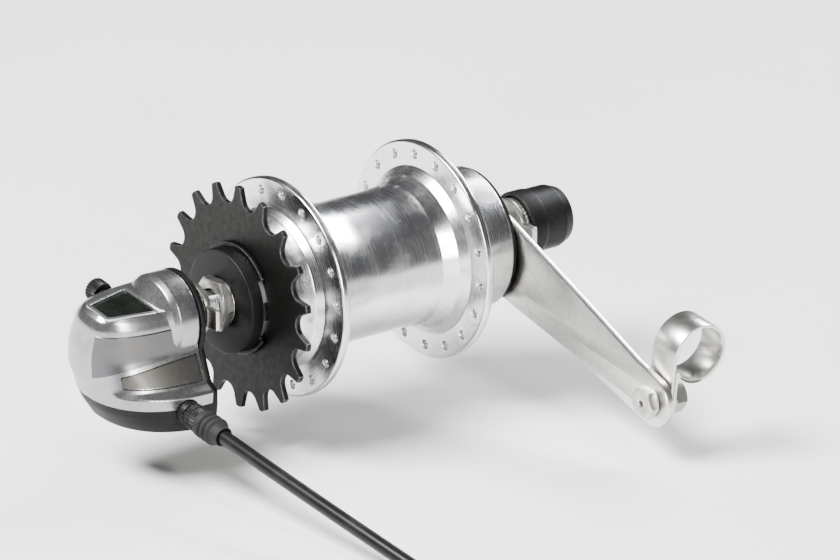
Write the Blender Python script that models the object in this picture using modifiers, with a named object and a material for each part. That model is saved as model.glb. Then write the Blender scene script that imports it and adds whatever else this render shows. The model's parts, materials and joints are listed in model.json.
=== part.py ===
"""Three-speed bicycle hub gear with a back-pedal brake, its shift box and its brake arm.

World axes: +X to the front of the bicycle, +Y to its left, +Z up. The origin is the middle of
the hub on the axle's axis. Each piece is modelled about its own Z axis; the empty hub_axis lays
that axis along world Y, so a height in a profile below is a place along the axle. Profiles and
outlines are written in millimetres and scaled by MM.
"""

import math

import bmesh
import bpy

MM = 0.001
GAP = 0.3  # between pieces that rest on each other
OVER = 1.0  # how far a cutter runs past the face it opens

# Axle and the faces that meet the frame
OVER_LOCKNUTS = 118.0
DROPOUT = 6.0  # room for one frame end, between a locknut and its washer
AXLE_R = 5.25
AXLE_LEFT = 83.0
AXLE_RIGHT = -88.5
AXLE_FLAT = 4.2
ROD_R = 1.4

# Epicyclic gear train
MODULE = 0.8
SUN_TEETH = 16
PLANET_TEETH = 14
RING_TEETH = SUN_TEETH + 2 * PLANET_TEETH
PLANETS = 3
ADDENDUM = 0.5
DEDENDUM = 0.85
ORBIT = MODULE * (SUN_TEETH + PLANET_TEETH) / 2
RING_R = 20.3
PIN_R = 2.2

# Ratchets
RATCHET_TEETH = 30
RATCHET_DEPTH = 1.2
RIGHT_RATCHET = 21.2  # radius over the tooth tips
LEFT_RATCHET = 19.0
LEFT_RATCHET_TURN = 3.0  # degrees, so that a tooth stands before each cage pawl
RING_PAWL_R = 17.0  # radius of the pawls' pivots
CAGE_PAWL_R = 14.8

# Hub shell
FLANGE_Y = 30.0
FLANGE_R = 37.8
SPOKES_PER_FLANGE = 18
SPOKE_CIRCLE = 33.5
SPOKE_HOLE = 1.45

# Sprocket for a half-inch chain
SPROCKET_TEETH = 18
CHAIN_PITCH = 12.7
SPROCKET_Y = -46.7
SPROCKET_T = 2.2

# Shift box, tilted down at the front to follow the chain stay
BOX_TILT = 8.0
BOX_BACK = -74.0
BOX_WALL = 2.0
BOX_STEPS = 18
SEAM = -22.0
BOX_LOW = -32.6
SWEEP_TOP = -6.0  # below this height the box sweeps up towards its rear
SWEEP_LIFT = 11.0
SWEEP_REACH = 17.0
WALL = 1.8
WINDOW_TOP = 8.0
COVER_SCREW = (17.4, -78.5)
CLAMP = (0, -89.5, 2.0)
CRANK = (12.0, -94.0)
CRANK_ARM = 12.0
CABLE = (-84.0, -23.0)  # along the axle, and height in the box's own axes
CASING_D = 5.0
CASING_RUN = 122.0
CASING_POINTS = 17
ALONG_X = (0, 90, 0)
AGAINST_X = (0, -90, 0)

# Brake arm
ARM_TILT = 8.0
ARM_REACH = 100.0
ARM_DROP = 17.0
ARM_Y = (52.3, 55.3)
STAY_R = 9.6  # inside the clip
STAY_Y = 66.6


def clear_scene():
    for obj in list(bpy.data.objects):
        bpy.data.objects.remove(obj, do_unlink=True)


def new_collection(name):
    made = bpy.data.collections.new(name)
    bpy.context.scene.collection.children.link(made)
    return made


def finish(name, colour, roughness, metallic):
    made = bpy.data.materials.new(name)
    made.use_nodes = True
    shader = made.node_tree.nodes["Principled BSDF"]
    shader.inputs["Base Color"].default_value = (*colour, 1.0)
    shader.inputs["Roughness"].default_value = roughness
    shader.inputs["Metallic"].default_value = metallic
    return made


def empty(name, parent=None, turn=(0, 0, 0)):
    made = bpy.data.objects.new(name, None)
    hub.objects.link(made)
    made.rotation_euler = [math.radians(a) for a in turn]
    made.parent = parent
    return made


def place(name, mesh, look, parent, at=(0, 0, 0), turn=(0, 0, 0)):
    """An object of this mesh, at a place in millimetres in its parent's axes."""
    made = bpy.data.objects.new(name, mesh)
    hub.objects.link(made)
    made.parent = parent
    made.location = [c * MM for c in at]
    made.rotation_euler = [math.radians(a) for a in turn]
    mesh.materials.clear()
    mesh.materials.append(finish(name, *look))
    mesh.shade_smooth()
    mesh.set_sharp_from_angle(angle=math.radians(30))
    return made


def turned(name, look, parent, profile, steps=24, at=(0, 0, 0), turn=(0, 0, 0), core=False):
    """A turned piece. The profile is (radius, height) points, first down its outer side; with
    core it starts and ends on the axis, and otherwise it closes round a bore."""
    mesh = bpy.data.meshes.new(name)
    edges = [(i, i + 1) for i in range(len(profile) - 1)]
    if not core:
        edges.append((len(profile) - 1, 0))
    mesh.from_pydata([(r * MM, 0, z * MM) for r, z in profile], edges, [])
    made = place(name, mesh, look, parent, at, turn)
    screw = made.modifiers.new("turn", "SCREW")
    screw.steps = steps
    screw.render_steps = steps
    screw.use_merge_vertices = True
    screw.merge_threshold = 0.00001
    return made


def ring(outer, inner, low, high):
    """The profile of a plain ring."""
    return [(outer, high), (outer, low), (inner, low), (inner, high)]


def plate(name, look, parent, loops, low, high, at=(0, 0, 0), turn=(0, 0, 0)):
    """A flat piece between two heights, from an outline and any holes in it."""
    curve = bpy.data.curves.new(name, "CURVE")
    curve.dimensions = "2D"
    curve.fill_mode = "BOTH"
    curve.extrude = (high - low) / 2 * MM
    for loop in loops:
        spline = curve.splines.new("POLY")
        spline.points.add(len(loop) - 1)
        for point, (x, y) in zip(spline.points, loop):
            point.co = (x * MM, y * MM, 0, 1)
        spline.use_cyclic_u = True
    mesh = meshed(name, curve)
    for vertex in mesh.vertices:
        vertex.co.z += (high + low) / 2 * MM
    return place(name, mesh, look, parent, at, turn)


def meshed(name, curve):
    """A curve as one closed mesh."""
    guide = bpy.data.objects.new(name + "_curve", curve)
    hub.objects.link(guide)
    made = bpy.data.meshes.new_from_object(
        guide.evaluated_get(bpy.context.evaluated_depsgraph_get())
    )
    bpy.data.objects.remove(guide, do_unlink=True)
    bm = bmesh.new()
    bm.from_mesh(made)
    bmesh.ops.remove_doubles(bm, verts=bm.verts, dist=0.00001)
    bmesh.ops.recalc_face_normals(bm, faces=bm.faces)
    bm.to_mesh(made)
    bm.free()
    made.name = name
    return made


def wire(name, look, parent, points, radius, sides=1, at=(0, 0, 0), turn=(0, 0, 0)):
    """A round wire or tube along points."""
    curve = bpy.data.curves.new(name, "CURVE")
    curve.dimensions = "3D"
    curve.bevel_depth = radius * MM
    curve.bevel_resolution = sides
    curve.use_fill_caps = True
    spline = curve.splines.new("POLY")
    spline.points.add(len(points) - 1)
    for point, spot in zip(spline.points, points):
        point.co = (*[c * MM for c in spot], 1)
    return place(name, meshed(name, curve), look, parent, at, turn)


def lofted(name, look, parent, rings):
    """A closed body through rings of equally many points. Point i of a ring and the point i before
    its start stand at the same X, so strips between such pairs close the two ends."""
    bm = bmesh.new()
    rows = [[bm.verts.new([c * MM for c in p]) for p in loop] for loop in rings]
    count = len(rows[0])
    for row, above in zip(rows, rows[1:]):
        for i in range(count):
            j = (i + 1) % count
            bm.faces.new((row[i], row[j], above[j], above[i]))
    for row in (rows[0], rows[-1]):
        for i in range(count // 2):
            corners = (row[i], row[i + 1], row[(-i - 1) % count], row[-i % count])
            bm.faces.new(tuple(dict.fromkeys(corners)))
    bmesh.ops.recalc_face_normals(bm, faces=bm.faces)
    mesh = bpy.data.meshes.new(name)
    bm.to_mesh(mesh)
    bm.free()
    return place(name, mesh, look, parent)


def balls(name, look, parent, count, circle, radius, height):
    """A caged set of bearing balls: the balls and the cage ring that runs through them."""
    cage = turned(name, look, parent, ring(circle + 0.7, circle - 0.7, height - 1, height + 1), 20)
    bm = bmesh.new()
    for i in range(count):
        angle = 2 * math.pi * i / count
        ball = bmesh.ops.create_uvsphere(bm, u_segments=6, v_segments=4, radius=radius * MM)
        spot = (circle * math.cos(angle) * MM, circle * math.sin(angle) * MM, height * MM)
        bmesh.ops.translate(bm, verts=ball["verts"], vec=spot)
    mesh = bpy.data.meshes.new(name + "_set")
    bm.to_mesh(mesh)
    bm.free()
    combine(cage, "UNION", place(name + "_set", mesh, look, parent))
    return cage


def combine(target, how, *tools):
    """Joins tools to a piece, or cuts them out of it, and puts them with the cutters."""
    for tool in tools:
        hub.objects.unlink(tool)
        cutters.objects.link(tool)
        tool.hide_render = True
        tool.display_type = "WIRE"
        step = target.modifiers.new(tool.name, "BOOLEAN")
        step.operation = how
        step.solver = "EXACT"
        step.object = tool


def block(name, parent, low, high, at=(0, 0, 0), turn=(0, 0, 0)):
    """A box between two corners."""
    bm = bmesh.new()
    bmesh.ops.create_cube(bm, size=MM)
    for vertex in bm.verts:
        for axis in range(3):
            middle = (low[axis] + high[axis]) / 2 * MM
            vertex.co[axis] = vertex.co[axis] * (high[axis] - low[axis]) + middle
    mesh = bpy.data.meshes.new(name)
    bm.to_mesh(mesh)
    bm.free()
    return place(name, mesh, STEEL, parent, at, turn)


def peg(name, parent, radius, low, high, steps=16, at=(0, 0, 0), turn=(0, 0, 0), look=None):
    """A plain round bar."""
    profile = [(0, high), (radius, high), (radius, low), (0, low)]
    return turned(name, look or STEEL, parent, profile, steps, at, turn, core=True)


def circle(radius, count=24, centre=(0, 0), start=0.0):
    return arc(radius, start, start + 2 * math.pi * (count - 1) / count, count, centre)


def arc(radius, first, last, count, centre=(0, 0)):
    angles = [first + (last - first) * i / (count - 1) for i in range(count)]
    return [
        (centre[0] + radius * math.cos(a), centre[1] + radius * math.sin(a)) for a in angles
    ]


def hexagon(flats):
    return circle(flats / math.sqrt(3), 6)


def toothed(teeth, root, tip, root_share, tip_share, start=0.0):
    """The outline of a gear whose first tooth points along `start`."""
    pitch = 2 * math.pi / teeth
    loop = []
    for i in range(teeth):
        middle = start + i * pitch
        flank = ((root, -root_share), (tip, -tip_share), (tip, tip_share), (root, root_share))
        for radius, share in flank:
            angle = middle + share * pitch / 2
            loop.append((radius * math.cos(angle), radius * math.sin(angle)))
    return loop


def ratchet(tip):
    """The inner outline of a ratchet ring: a ramp and a steep face for each tooth."""
    pitch = 2 * math.pi / RATCHET_TEETH
    steep = math.radians(18.3)
    loop = []
    for i in range(RATCHET_TEETH):
        for radius, angle in ((tip + RATCHET_DEPTH, steep - 0.005), (tip, steep + 0.004)):
            turn = angle + i * pitch
            loop.append((radius * math.cos(turn), radius * math.sin(turn)))
    return loop


def ribbon(path, thickness):
    """The outline of a strap bent along a path."""
    left, right = [], []
    for i, (x, y) in enumerate(path):
        before, after = path[max(i - 1, 0)], path[min(i + 1, len(path) - 1)]
        dx, dy = after[0] - before[0], after[1] - before[1]
        long = math.hypot(dx, dy)
        side = (-dy / long * thickness / 2, dx / long * thickness / 2)
        left.append((x + side[0], y + side[1]))
        right.append((x - side[0], y - side[1]))
    return left + right[::-1]


def helix(radius, low, high, turns, per_turn=10):
    count = int(turns * per_turn)
    return [
        (
            radius * math.cos(2 * math.pi * i / per_turn),
            radius * math.sin(2 * math.pi * i / per_turn),
            low + (high - low) * i / count,
        )
        for i in range(count + 1)
    ]


def around(radius, angle, height=0.0):
    return (radius * math.cos(angle), radius * math.sin(angle), height)


# ---------------------------------------------------------------- axle and its hardware

ALLOY = ((0.78, 0.78, 0.80), 0.25, 1.0)
STEEL = ((0.55, 0.55, 0.56), 0.32, 1.0)
DARK_STEEL = ((0.10, 0.10, 0.11), 0.42, 0.9)
ZINC = ((0.68, 0.68, 0.66), 0.38, 1.0)
BLACK = ((0.02, 0.02, 0.022), 0.45, 0.0)
SILVER = ((0.70, 0.71, 0.73), 0.28, 0.6)
LENS = ((0.16, 0.17, 0.12), 0.10, 0.0)
RUBBER = ((0.03, 0.03, 0.03), 0.75, 0.0)
BRASS = ((0.75, 0.58, 0.28), 0.35, 1.0)


def make_axle():
    reach = [(0, AXLE_LEFT), (AXLE_R - 0.7, AXLE_LEFT), (AXLE_R, AXLE_LEFT - 1)]
    reach += [(AXLE_R, AXLE_RIGHT + 1), (AXLE_R - 0.7, AXLE_RIGHT)]
    reach += [(ROD_R + 0.4, AXLE_RIGHT), (ROD_R + 0.4, -9.5), (0, -9.5)]
    axle = turned("axle_with_sun_gear", STEEL, axis, reach, 24, core=True)
    pitch_r = MODULE * SUN_TEETH / 2
    teeth = toothed(SUN_TEETH, pitch_r - DEDENDUM, pitch_r + ADDENDUM, 0.44, 0.22)
    combine(axle, "UNION", plate("sun_teeth", STEEL, axis, [teeth], -2, 14))
    combine(axle, "DIFFERENCE", block("key_slot", axis, (-9, -1.7, -20.4), (9, 1.7, -9.7)))
    for side, (low, high) in (("left", (57, 90)), ("right", (-95, -57))):
        for up in (-1, 1):
            inner, outer = sorted((up * AXLE_FLAT, up * 8))
            flat = block(f"axle_flat_{side}_{up}", axis, (-8, inner, low), (8, outer, high))
            combine(axle, "DIFFERENCE", flat)


def make_bearing_cones():
    bore = AXLE_R + GAP
    right = [(7.6, -43.9), (8.9, -46), (9.0, -50), (8.2, -50.6), (8.2, -55.2)]
    turned("right_cone", STEEL, axis, right + [(bore, -55.2), (bore, -43.9)])
    left = [(8.6, 55.3), (8.6, 50.4), (12.3, 50.2), (12.3, 44.6), (15.2, 43.2), (12.4, 36.8)]
    turned("brake_lever_cone", STEEL, axis, left + [(bore, 36.8), (bore, 55.3)])
    face = OVER_LOCKNUTS / 2
    for side, low, high in (("right", -face, -55.5), ("left", 55.6, face)):
        plate(f"{side}_locknut", ZINC, axis, [hexagon(17), circle(bore, 20)], low, high)
    shield = [(18.0, -50.0), (18.0, -54.8), (8.5, -54.8), (8.5, -53.6), (17.5, -53.6)]
    turned("right_dust_shield", BLACK, axis, shield + [(17.5, -50.0)])


def make_axle_ends():
    """The washers that stop the axle turning, the axle nuts and the left nut's cap."""
    bore = AXLE_R + GAP
    flat = AXLE_FLAT + GAP
    corner = math.acos(flat / bore)
    hole = arc(bore, corner - math.pi / 2, math.pi / 2 - corner, 8)
    hole += [(-x, -y) for x, y in hole]
    outer = OVER_LOCKNUTS / 2 + DROPOUT
    for side, way in (("right", -1), ("left", 1)):
        low, high = sorted((way * (outer + 0.2), way * (outer + 2.3)))
        tongue = arc(9.6, math.radians(22), math.radians(338), 22) + [(14.5, -3.6), (14.5, 3.6)]
        plate(f"{side}_no_turn_washer", ZINC, axis, [tongue, hole], low, high)
        low, high = sorted((way * (outer + 2.6), way * (outer + 11.5)))
        nut = plate(f"{side}_axle_nut", ZINC, axis, [hexagon(15), circle(bore, 20)], low, high)
        low, high = sorted((way * (outer + 2.6), way * (outer + 4.2)))
        rim = turned(f"{side}_nut_rim", ZINC, axis, ring(9.4, bore + 0.2, low, high), 24)
        combine(nut, "UNION", rim)
    cap = [(0, 89), (6.4, 88.6), (9.6, 86.6), (10.9, 83), (11.3, outer + 3.6)]
    cap += [(9.8, outer + 3.6), (9.6, 83.2), (0, 83.8)]
    turned("left_nut_cap", BLACK, axis, cap, core=True)


# ---------------------------------------------------------------- gear train


def make_planet_cage():
    bore = AXLE_R + 0.75
    left = [(8.6, 27.4), (8.6, 21), (17.6, 21), (17.6, 15.2), (bore, 15.2), (bore, 27.4)]
    cage = turned("planet_cage", STEEL, axis, left)
    combine(cage, "UNION", turned("cage_right_disc", STEEL, axis, ring(15.6, 8.2, -6.5, -3.2)))
    for i in range(PLANETS):
        middle = 2 * math.pi * (i + 0.5) / PLANETS
        wide = math.radians(19)
        bridge = arc(15.3, middle - wide, middle + wide, 6)
        bridge += arc(11.2, middle + wide * 0.8, middle - wide * 0.8, 5)
        combine(cage, "UNION", plate(f"cage_bridge_{i}", STEEL, axis, [bridge], -3.8, 15.8))
    for i in range(PLANETS):
        spot = around(ORBIT, 2 * math.pi * i / PLANETS)
        hole = peg(f"pin_hole_{i}", axis, PIN_R + GAP, -8, 22.5, 12, spot, (0, 0, 7))
        combine(cage, "DIFFERENCE", hole)
    for i, angle in enumerate((75, 255)):
        low, high = (12.6, -1.9, 16.0), (24, 7.4, 22)
        pocket = block(f"cage_pocket_{i}", axis, low, high, turn=(0, 0, angle))
        combine(cage, "DIFFERENCE", pocket)


def make_planets():
    pitch_r = MODULE * PLANET_TEETH / 2
    for i in range(PLANETS):
        angle = 2 * math.pi * i / PLANETS
        mesh_turn = angle * (1 + SUN_TEETH / PLANET_TEETH) + math.pi * (1 - 1 / PLANET_TEETH)
        teeth = toothed(PLANET_TEETH, pitch_r - DEDENDUM, pitch_r + ADDENDUM, 0.44, 0.22, mesh_turn)
        loops = [teeth, circle(PIN_R + GAP, 12)]
        plate(f"planet_gear_{i + 1}", STEEL, axis, loops, -1.5, 13.5, around(ORBIT, angle))
        peg(f"planet_pin_{i + 1}", axis, PIN_R, -6.2, 20.4, 12, around(ORBIT, angle))


def make_ring_gear():
    pitch_r = MODULE * RING_TEETH / 2
    teeth = toothed(RING_TEETH, pitch_r + DEDENDUM, pitch_r - ADDENDUM, 0.44, 0.22)
    gear = plate("ring_gear", STEEL, axis, [circle(RING_R, 44), teeth], -17, 13.7)
    carrier = turned("pawl_carrier", STEEL, axis, ring(RING_R - 0.1, 14.2, -25.5, -16.7), 44)
    combine(gear, "UNION", carrier)
    for i, angle in enumerate((0, 180)):
        low, high = (14.8, -1.9, -27), (26, 7.6, -18)
        pocket = block(f"ring_pocket_{i}", axis, low, high, turn=(0, 0, angle))
        combine(gear, "DIFFERENCE", pocket)


def pawl(name, pivot, angle, nose, low, high):
    """A pawl whose round heel lies at the pivot radius, with its nose round the axle from it."""
    heel = arc(1.5, math.pi - 0.2, 2 * math.pi + 0.2, 7)
    spot = around(pivot, math.radians(angle))
    plate(name, DARK_STEEL, axis, [heel + nose], low, high, spot, (0, 0, angle))


def make_ratchets():
    right_nose = [(4.0, 4.4), (4.2, 6.2), (2.4, 6.4), (-0.6, 3.2)]
    left_nose = [(2.4, 4.4), (2.6, 6.1), (1.2, 6.4), (-0.8, 3.4)]
    for i, angle in enumerate((0, 180)):
        pawl(f"ring_pawl_{i + 1}", RING_PAWL_R, angle, right_nose, -25.2, -18.3)
    for i, angle in enumerate((75, 255)):
        pawl(f"cage_pawl_{i + 1}", CAGE_PAWL_R, angle, left_nose, 16.1, 20.7)
    outer = circle(23.3, 36)
    plate("right_ratchet_ring", STEEL, axis, [outer, ratchet(RIGHT_RATCHET)], -26, -17.3)
    outer = circle(20.8, 36)
    loops = [outer, ratchet(LEFT_RATCHET)]
    plate("left_ratchet_ring", STEEL, axis, loops, 15.4, 21.4, turn=(0, 0, LEFT_RATCHET_TURN))


def make_clutch():
    """The sliding clutch, the key that moves it through the axle, its rod and its spring."""
    arms = 4
    half = math.radians(360 / RING_TEETH / 2)
    loop = []
    for i in range(arms):
        middle = half + 2 * math.pi * i / arms
        for r, side in ((10.7, -2.4), (16.5, -2.4), (16.7, -0.45), (18.0, -0.35)):
            loop.append(across(r, side, middle))
        for r, side in ((18.0, 0.35), (16.7, 0.45), (16.5, 2.4), (10.7, 2.4)):
            loop.append(across(r, side, middle))
        step = math.radians(22)
        loop += arc(10.7, middle + step, middle + math.pi / 2 - step, 4)
    plate("clutch_spider", STEEL, axis, [loop, circle(AXLE_R + 0.5, 20)], -13.2, -10.2)
    key = [(-9.6, -1.35), (9.6, -1.35), (9.6, 1.35), (-9.6, 1.35)]
    plate("axle_key", DARK_STEEL, axis, [key], -16.5, -13.5)
    peg("shift_rod", axis, ROD_R, -92.1, -16.8, 12)
    wire("clutch_spring", STEEL, axis, helix(6.5, -9.2, -2.8, 4), 0.45)


def across(radius, side, angle):
    """A point out along a direction and to the side of it."""
    out = math.sqrt(radius * radius - side * side)
    return (
        out * math.cos(angle) - side * math.sin(angle),
        out * math.sin(angle) + side * math.cos(angle),
    )


# ---------------------------------------------------------------- driver and sprocket


def make_driver():
    outside = [(13.6, -7), (13.6, -28), (16.2, -31), (17.0, -33), (17.0, -42), (18.6, -42.3)]
    outside += [(18.6, -43.6), (17.1, -43.8), (17.1, -52.6), (16.4, -53)]
    inside = [(13.4, -53), (13.4, -44), (9.6, -42.6), (9.6, -22), (11.2, -21), (11.2, -7)]
    driver = turned("driver", STEEL, axis, outside + inside)
    half = 180 / RING_TEETH
    for i in range(2):
        low, high = (-16, -2.9, -17.2), (16, 2.9, -6)
        slot = block(f"driver_slot_{i}", axis, low, high, turn=(0, 0, half + 90 * i))
        combine(driver, "DIFFERENCE", slot)
    for i in range(3):
        low, high = (15.7, -3.2, -55), (20, 3.2, -44.4)
        groove = block(f"driver_groove_{i}", axis, low, high, turn=(0, 0, 120 * i))
        combine(driver, "DIFFERENCE", groove)


def sprocket_outline():
    """Half-inch chain teeth: a round seat for each roller, and a tooth between two seats."""
    pitch = 2 * math.pi / SPROCKET_TEETH
    pitch_r = CHAIN_PITCH / 2 / math.sin(pitch / 2)
    roller = 4.0
    loop = []
    for i in range(SPROCKET_TEETH):
        middle = i * pitch
        for r, share in (
            (pitch_r + 2.7, -0.44),
            (pitch_r, -roller / CHAIN_PITCH),
            (pitch_r - roller * 0.94, -0.14),
            (pitch_r - roller * 0.94, 0.14),
            (pitch_r, roller / CHAIN_PITCH),
            (pitch_r + 2.7, 0.44),
        ):
            angle = middle + share * pitch
            loop.append((r * math.cos(angle), r * math.sin(angle)))
    return loop


def make_sprocket():
    seat = 17.1 + GAP
    lug = math.asin(2.8 / seat)
    bore = []
    for i in range(3):
        middle = math.radians(120 * i)
        bore += [across(16.1, -2.8, middle), across(16.1, 2.8, middle)]
        bore += arc(seat, middle + lug, middle + math.radians(120) - lug, 9)
    low, high = SPROCKET_Y - SPROCKET_T / 2, SPROCKET_Y + SPROCKET_T / 2
    plate("sprocket", DARK_STEEL, axis, [sprocket_outline(), bore], low, high)
    plate_ring = [(25.2, high + 1.6), (25.2, high + GAP), (seat, high + GAP), (seat, high + 1.6)]
    turned("sprocket_dust_plate", BLACK, axis, plate_ring, 36)
    clip = ribbon(arc(18.4, math.radians(35), math.radians(325), 20), 2.0)
    plate("sprocket_circlip", DARK_STEEL, axis, [clip], low - 1.7, low - GAP)


# ---------------------------------------------------------------- hub shell


def make_shell():
    left = [(24.4, 50.2), (24.4, 34), (26.6, 31.5), (FLANGE_R, 31.5), (FLANGE_R, 28.5)]
    left += [(29, 28.4), (26.4, 25.6), (24.5, 20), (24, 12)]
    right = [(24, -8), (24.8, -14), (26.4, -20), (27.4, -25.6), (30, -28.4)]
    right += [(FLANGE_R, -28.5), (FLANGE_R, -31.5), (27.6, -31.5), (25.4, -34)]
    bore = [(25.4, -41.6), (23.6, -41.6), (23.6, -16.8), (21.1, -16.4), (21.1, 43.6)]
    shell = turned("hub_shell", ALLOY, axis, left + right + bore + [(22.2, 43.8), (22.2, 50.2)], 30)
    for side, middle, offset in (("left", FLANGE_Y, 0.0), ("right", -FLANGE_Y, 0.5)):
        bm = bmesh.new()
        for i in range(SPOKES_PER_FLANGE):
            angle = 2 * math.pi * (i + offset + 0.25) / SPOKES_PER_FLANGE
            hole = bmesh.ops.create_cone(
                bm, cap_ends=True, segments=6, depth=5 * MM,
                radius1=SPOKE_HOLE * MM, radius2=SPOKE_HOLE * MM,
            )
            spot = [c * MM for c in around(SPOKE_CIRCLE, angle, middle)]
            bmesh.ops.translate(bm, verts=hole["verts"], vec=spot)
        mesh = bpy.data.meshes.new(f"{side}_spoke_holes")
        bm.to_mesh(mesh)
        bm.free()
        combine(shell, "DIFFERENCE", place(f"{side}_spoke_holes", mesh, STEEL, axis))
    turned("right_ball_cup", STEEL, axis, ring(23.3, 21.6, -41.2, -34.2), 30)
    turned("left_ball_cup", STEEL, axis, ring(21.9, 19.2, 44.1, 50.2), 30)
    turned("left_dust_cap", BLACK, axis, ring(23.6, 9.2, 50.5, 52.0), 30)
    balls("left_ball_ring", STEEL, axis, 9, 15.8, 3.1, 47.2)
    balls("right_ball_ring", STEEL, axis, 12, 19.3, 1.95, -37.6)
    balls("driver_ball_ring", STEEL, axis, 9, 11.2, 1.95, -47.6)


# ---------------------------------------------------------------- back-pedal brake


def make_brake():
    taper = 0.45
    cone_at = {z: 16.8 - taper * (z - 25) for z in (25, 33)}
    cone = [(cone_at[33], 33), (cone_at[25], 25), (16.8, 23.4), (8.9, 23.4), (8.9, 33)]
    turned("brake_cone", STEEL, axis, cone)
    mouth = [(20.5, 43.4), (20.5, 24), (17.85, 24), (13.9, 32.8), (13.9, 36.2), (16.6, 43.4)]
    mantle = turned("brake_mantle", BRASS, axis, mouth, 36)
    combine(mantle, "DIFFERENCE", block("mantle_split", axis, (-0.8, 10, 22), (0.8, 24, 45)))
    hold = arc(14.4, math.radians(30), math.radians(330), 25)
    wire("brake_friction_spring", STEEL, axis, [(x, y, 22.2) for x, y in hold], 0.5)


def make_brake_arm():
    """The arm, and the clip that ties its far end to the left chain stay."""
    bolt = (ARM_REACH, ARM_DROP)
    strap = arc(15.5, math.radians(75), math.radians(285), 14) + [(28, -9.5), (60, -1.5)]
    strap += arc(9.0, math.radians(-80), math.radians(95), 8, bolt) + [(60, 19.5), (28, 17)]
    plate("brake_arm", ZINC, arm_axes, [strap, circle(8.9, 20), circle(3.3, 12, bolt)], *ARM_Y)

    middle = STAY_R + 0.6
    near = STAY_Y - middle
    far = STAY_Y - middle * math.cos(math.radians(30))
    low = -ARM_DROP - 5
    path = [(near, low), (near, -9)] + arc(middle, math.pi, math.radians(-150), 22, (STAY_Y, 0))
    path += [(far, -9), (far, low)]
    spot = (ARM_REACH, ARM_DROP, 0)
    strip = [ribbon(path, 1.2)]
    clip = plate("arm_clip", ZINC, arm_axes, strip, -6, 6, (ARM_REACH, 0, 0), (180, -90, 0))
    combine(clip, "DIFFERENCE", peg("clip_hole", arm_axes, 3.3, 50, 64, 12, spot))
    head = plate("clip_bolt", ZINC, arm_axes, [hexagon(10)], 48.0, 52.0, spot)
    combine(head, "UNION", peg("clip_bolt_shank", arm_axes, 3.0, 51, 65.5, 12, spot))
    plate("clip_nut", ZINC, arm_axes, [hexagon(10), circle(3.3, 12)], 59.0, 64.0, spot)


# ---------------------------------------------------------------- shift box


def swept(x, z):
    """A height in the shift box, whose lower half sweeps up towards its rear."""
    lift = SWEEP_LIFT * math.tanh((min(x, 0) / SWEEP_REACH) ** 2)
    share = (SWEEP_TOP - z) / (SWEEP_TOP - SEAM)
    return z + lift * min(max(share, 0), 1)


def plan(z, front, rear, nose, power, back):
    """One level of the shift box: a half oval round its nose, then straight along its back."""
    loop = []
    for i in range(BOX_STEPS + 1):
        angle = math.pi * i / BOX_STEPS
        wide, far = math.cos(angle), math.sin(angle)
        half = front if wide > 0 else rear
        x = math.copysign(half * abs(wide) ** (2 / power), wide)
        loop.append((x, back + (nose - back) * abs(far) ** (2 / power), swept(x, z)))
    return loop + [(x, back, height) for x, y, height in loop[-2:0:-1]]


def body_of(name, look, levels, back, inset=0.0):
    """The box's outside, or its inside when it is inset."""
    rings = [plan(z, f - inset, r - inset, n + inset, p, back) for z, f, r, n, p in levels]
    return lofted(name, look, box_axes, rings)


def make_box_base():
    outside = [(BOX_LOW, 22, 11.5, -99.5, 2.3), (-31, 24.2, 15, -103, 2.3)]
    outside += [(-28.3, 25, 17.2, -105, 2.3), (-25, 25, 19.8, -107.4, 2.35)]
    outside += [(SEAM, 25, 21.8, -108.9, 2.35)]
    base = body_of("shift_box_base", BLACK, outside, BOX_BACK + BOX_WALL)
    inside = [(-30.6, 23.6, 14.6, -102.6, 2.3), *outside[2:]]
    inside.append((SEAM + OVER, *outside[-1][1:]))
    combine(base, "DIFFERENCE", body_of("base_cavity", BLACK, inside, BOX_BACK, 2.0))
    low = [(x, swept(x, SEAM) - 1.5) for x in (-21.6, -19, -16, -12, -8, 0, 25)]
    side = [(25, SEAM + GAP), (24.6, -17.5), (20.6, -16), (15.0, -6)]
    rim = low + side + arc(15.5, math.radians(-12), math.radians(125), 14)
    rim += [(-13, 8), (-18.6, 3.5), (-22.4, SWEEP_TOP), (-22.8, swept(-22.8, -17.5))]
    upright = (90, 0, 0)
    near = -BOX_BACK - BOX_WALL
    wall = plate("base_end_wall", BLACK, box_axes, [rim, circle(10, 24)], near, -BOX_BACK, turn=upright)
    socket = peg("cable_socket", box_axes, 4.2, 20.5, 27, 16, (0, *CABLE), ALONG_X)
    bore = peg("cable_bore", box_axes, 2.0, 15, 32, 12, (0, *CABLE), ALONG_X)
    screw_hole = peg("screw_hole", box_axes, 1.5, BOX_LOW - OVER, -28, 12, (*COVER_SCREW, 0))
    sink = peg("screw_sink", box_axes, 3.0, BOX_LOW - OVER, BOX_LOW + 0.7, 16, (*COVER_SCREW, 0))
    combine(base, "UNION", wall, socket)
    combine(base, "DIFFERENCE", bore, screw_hole, sink)


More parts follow.
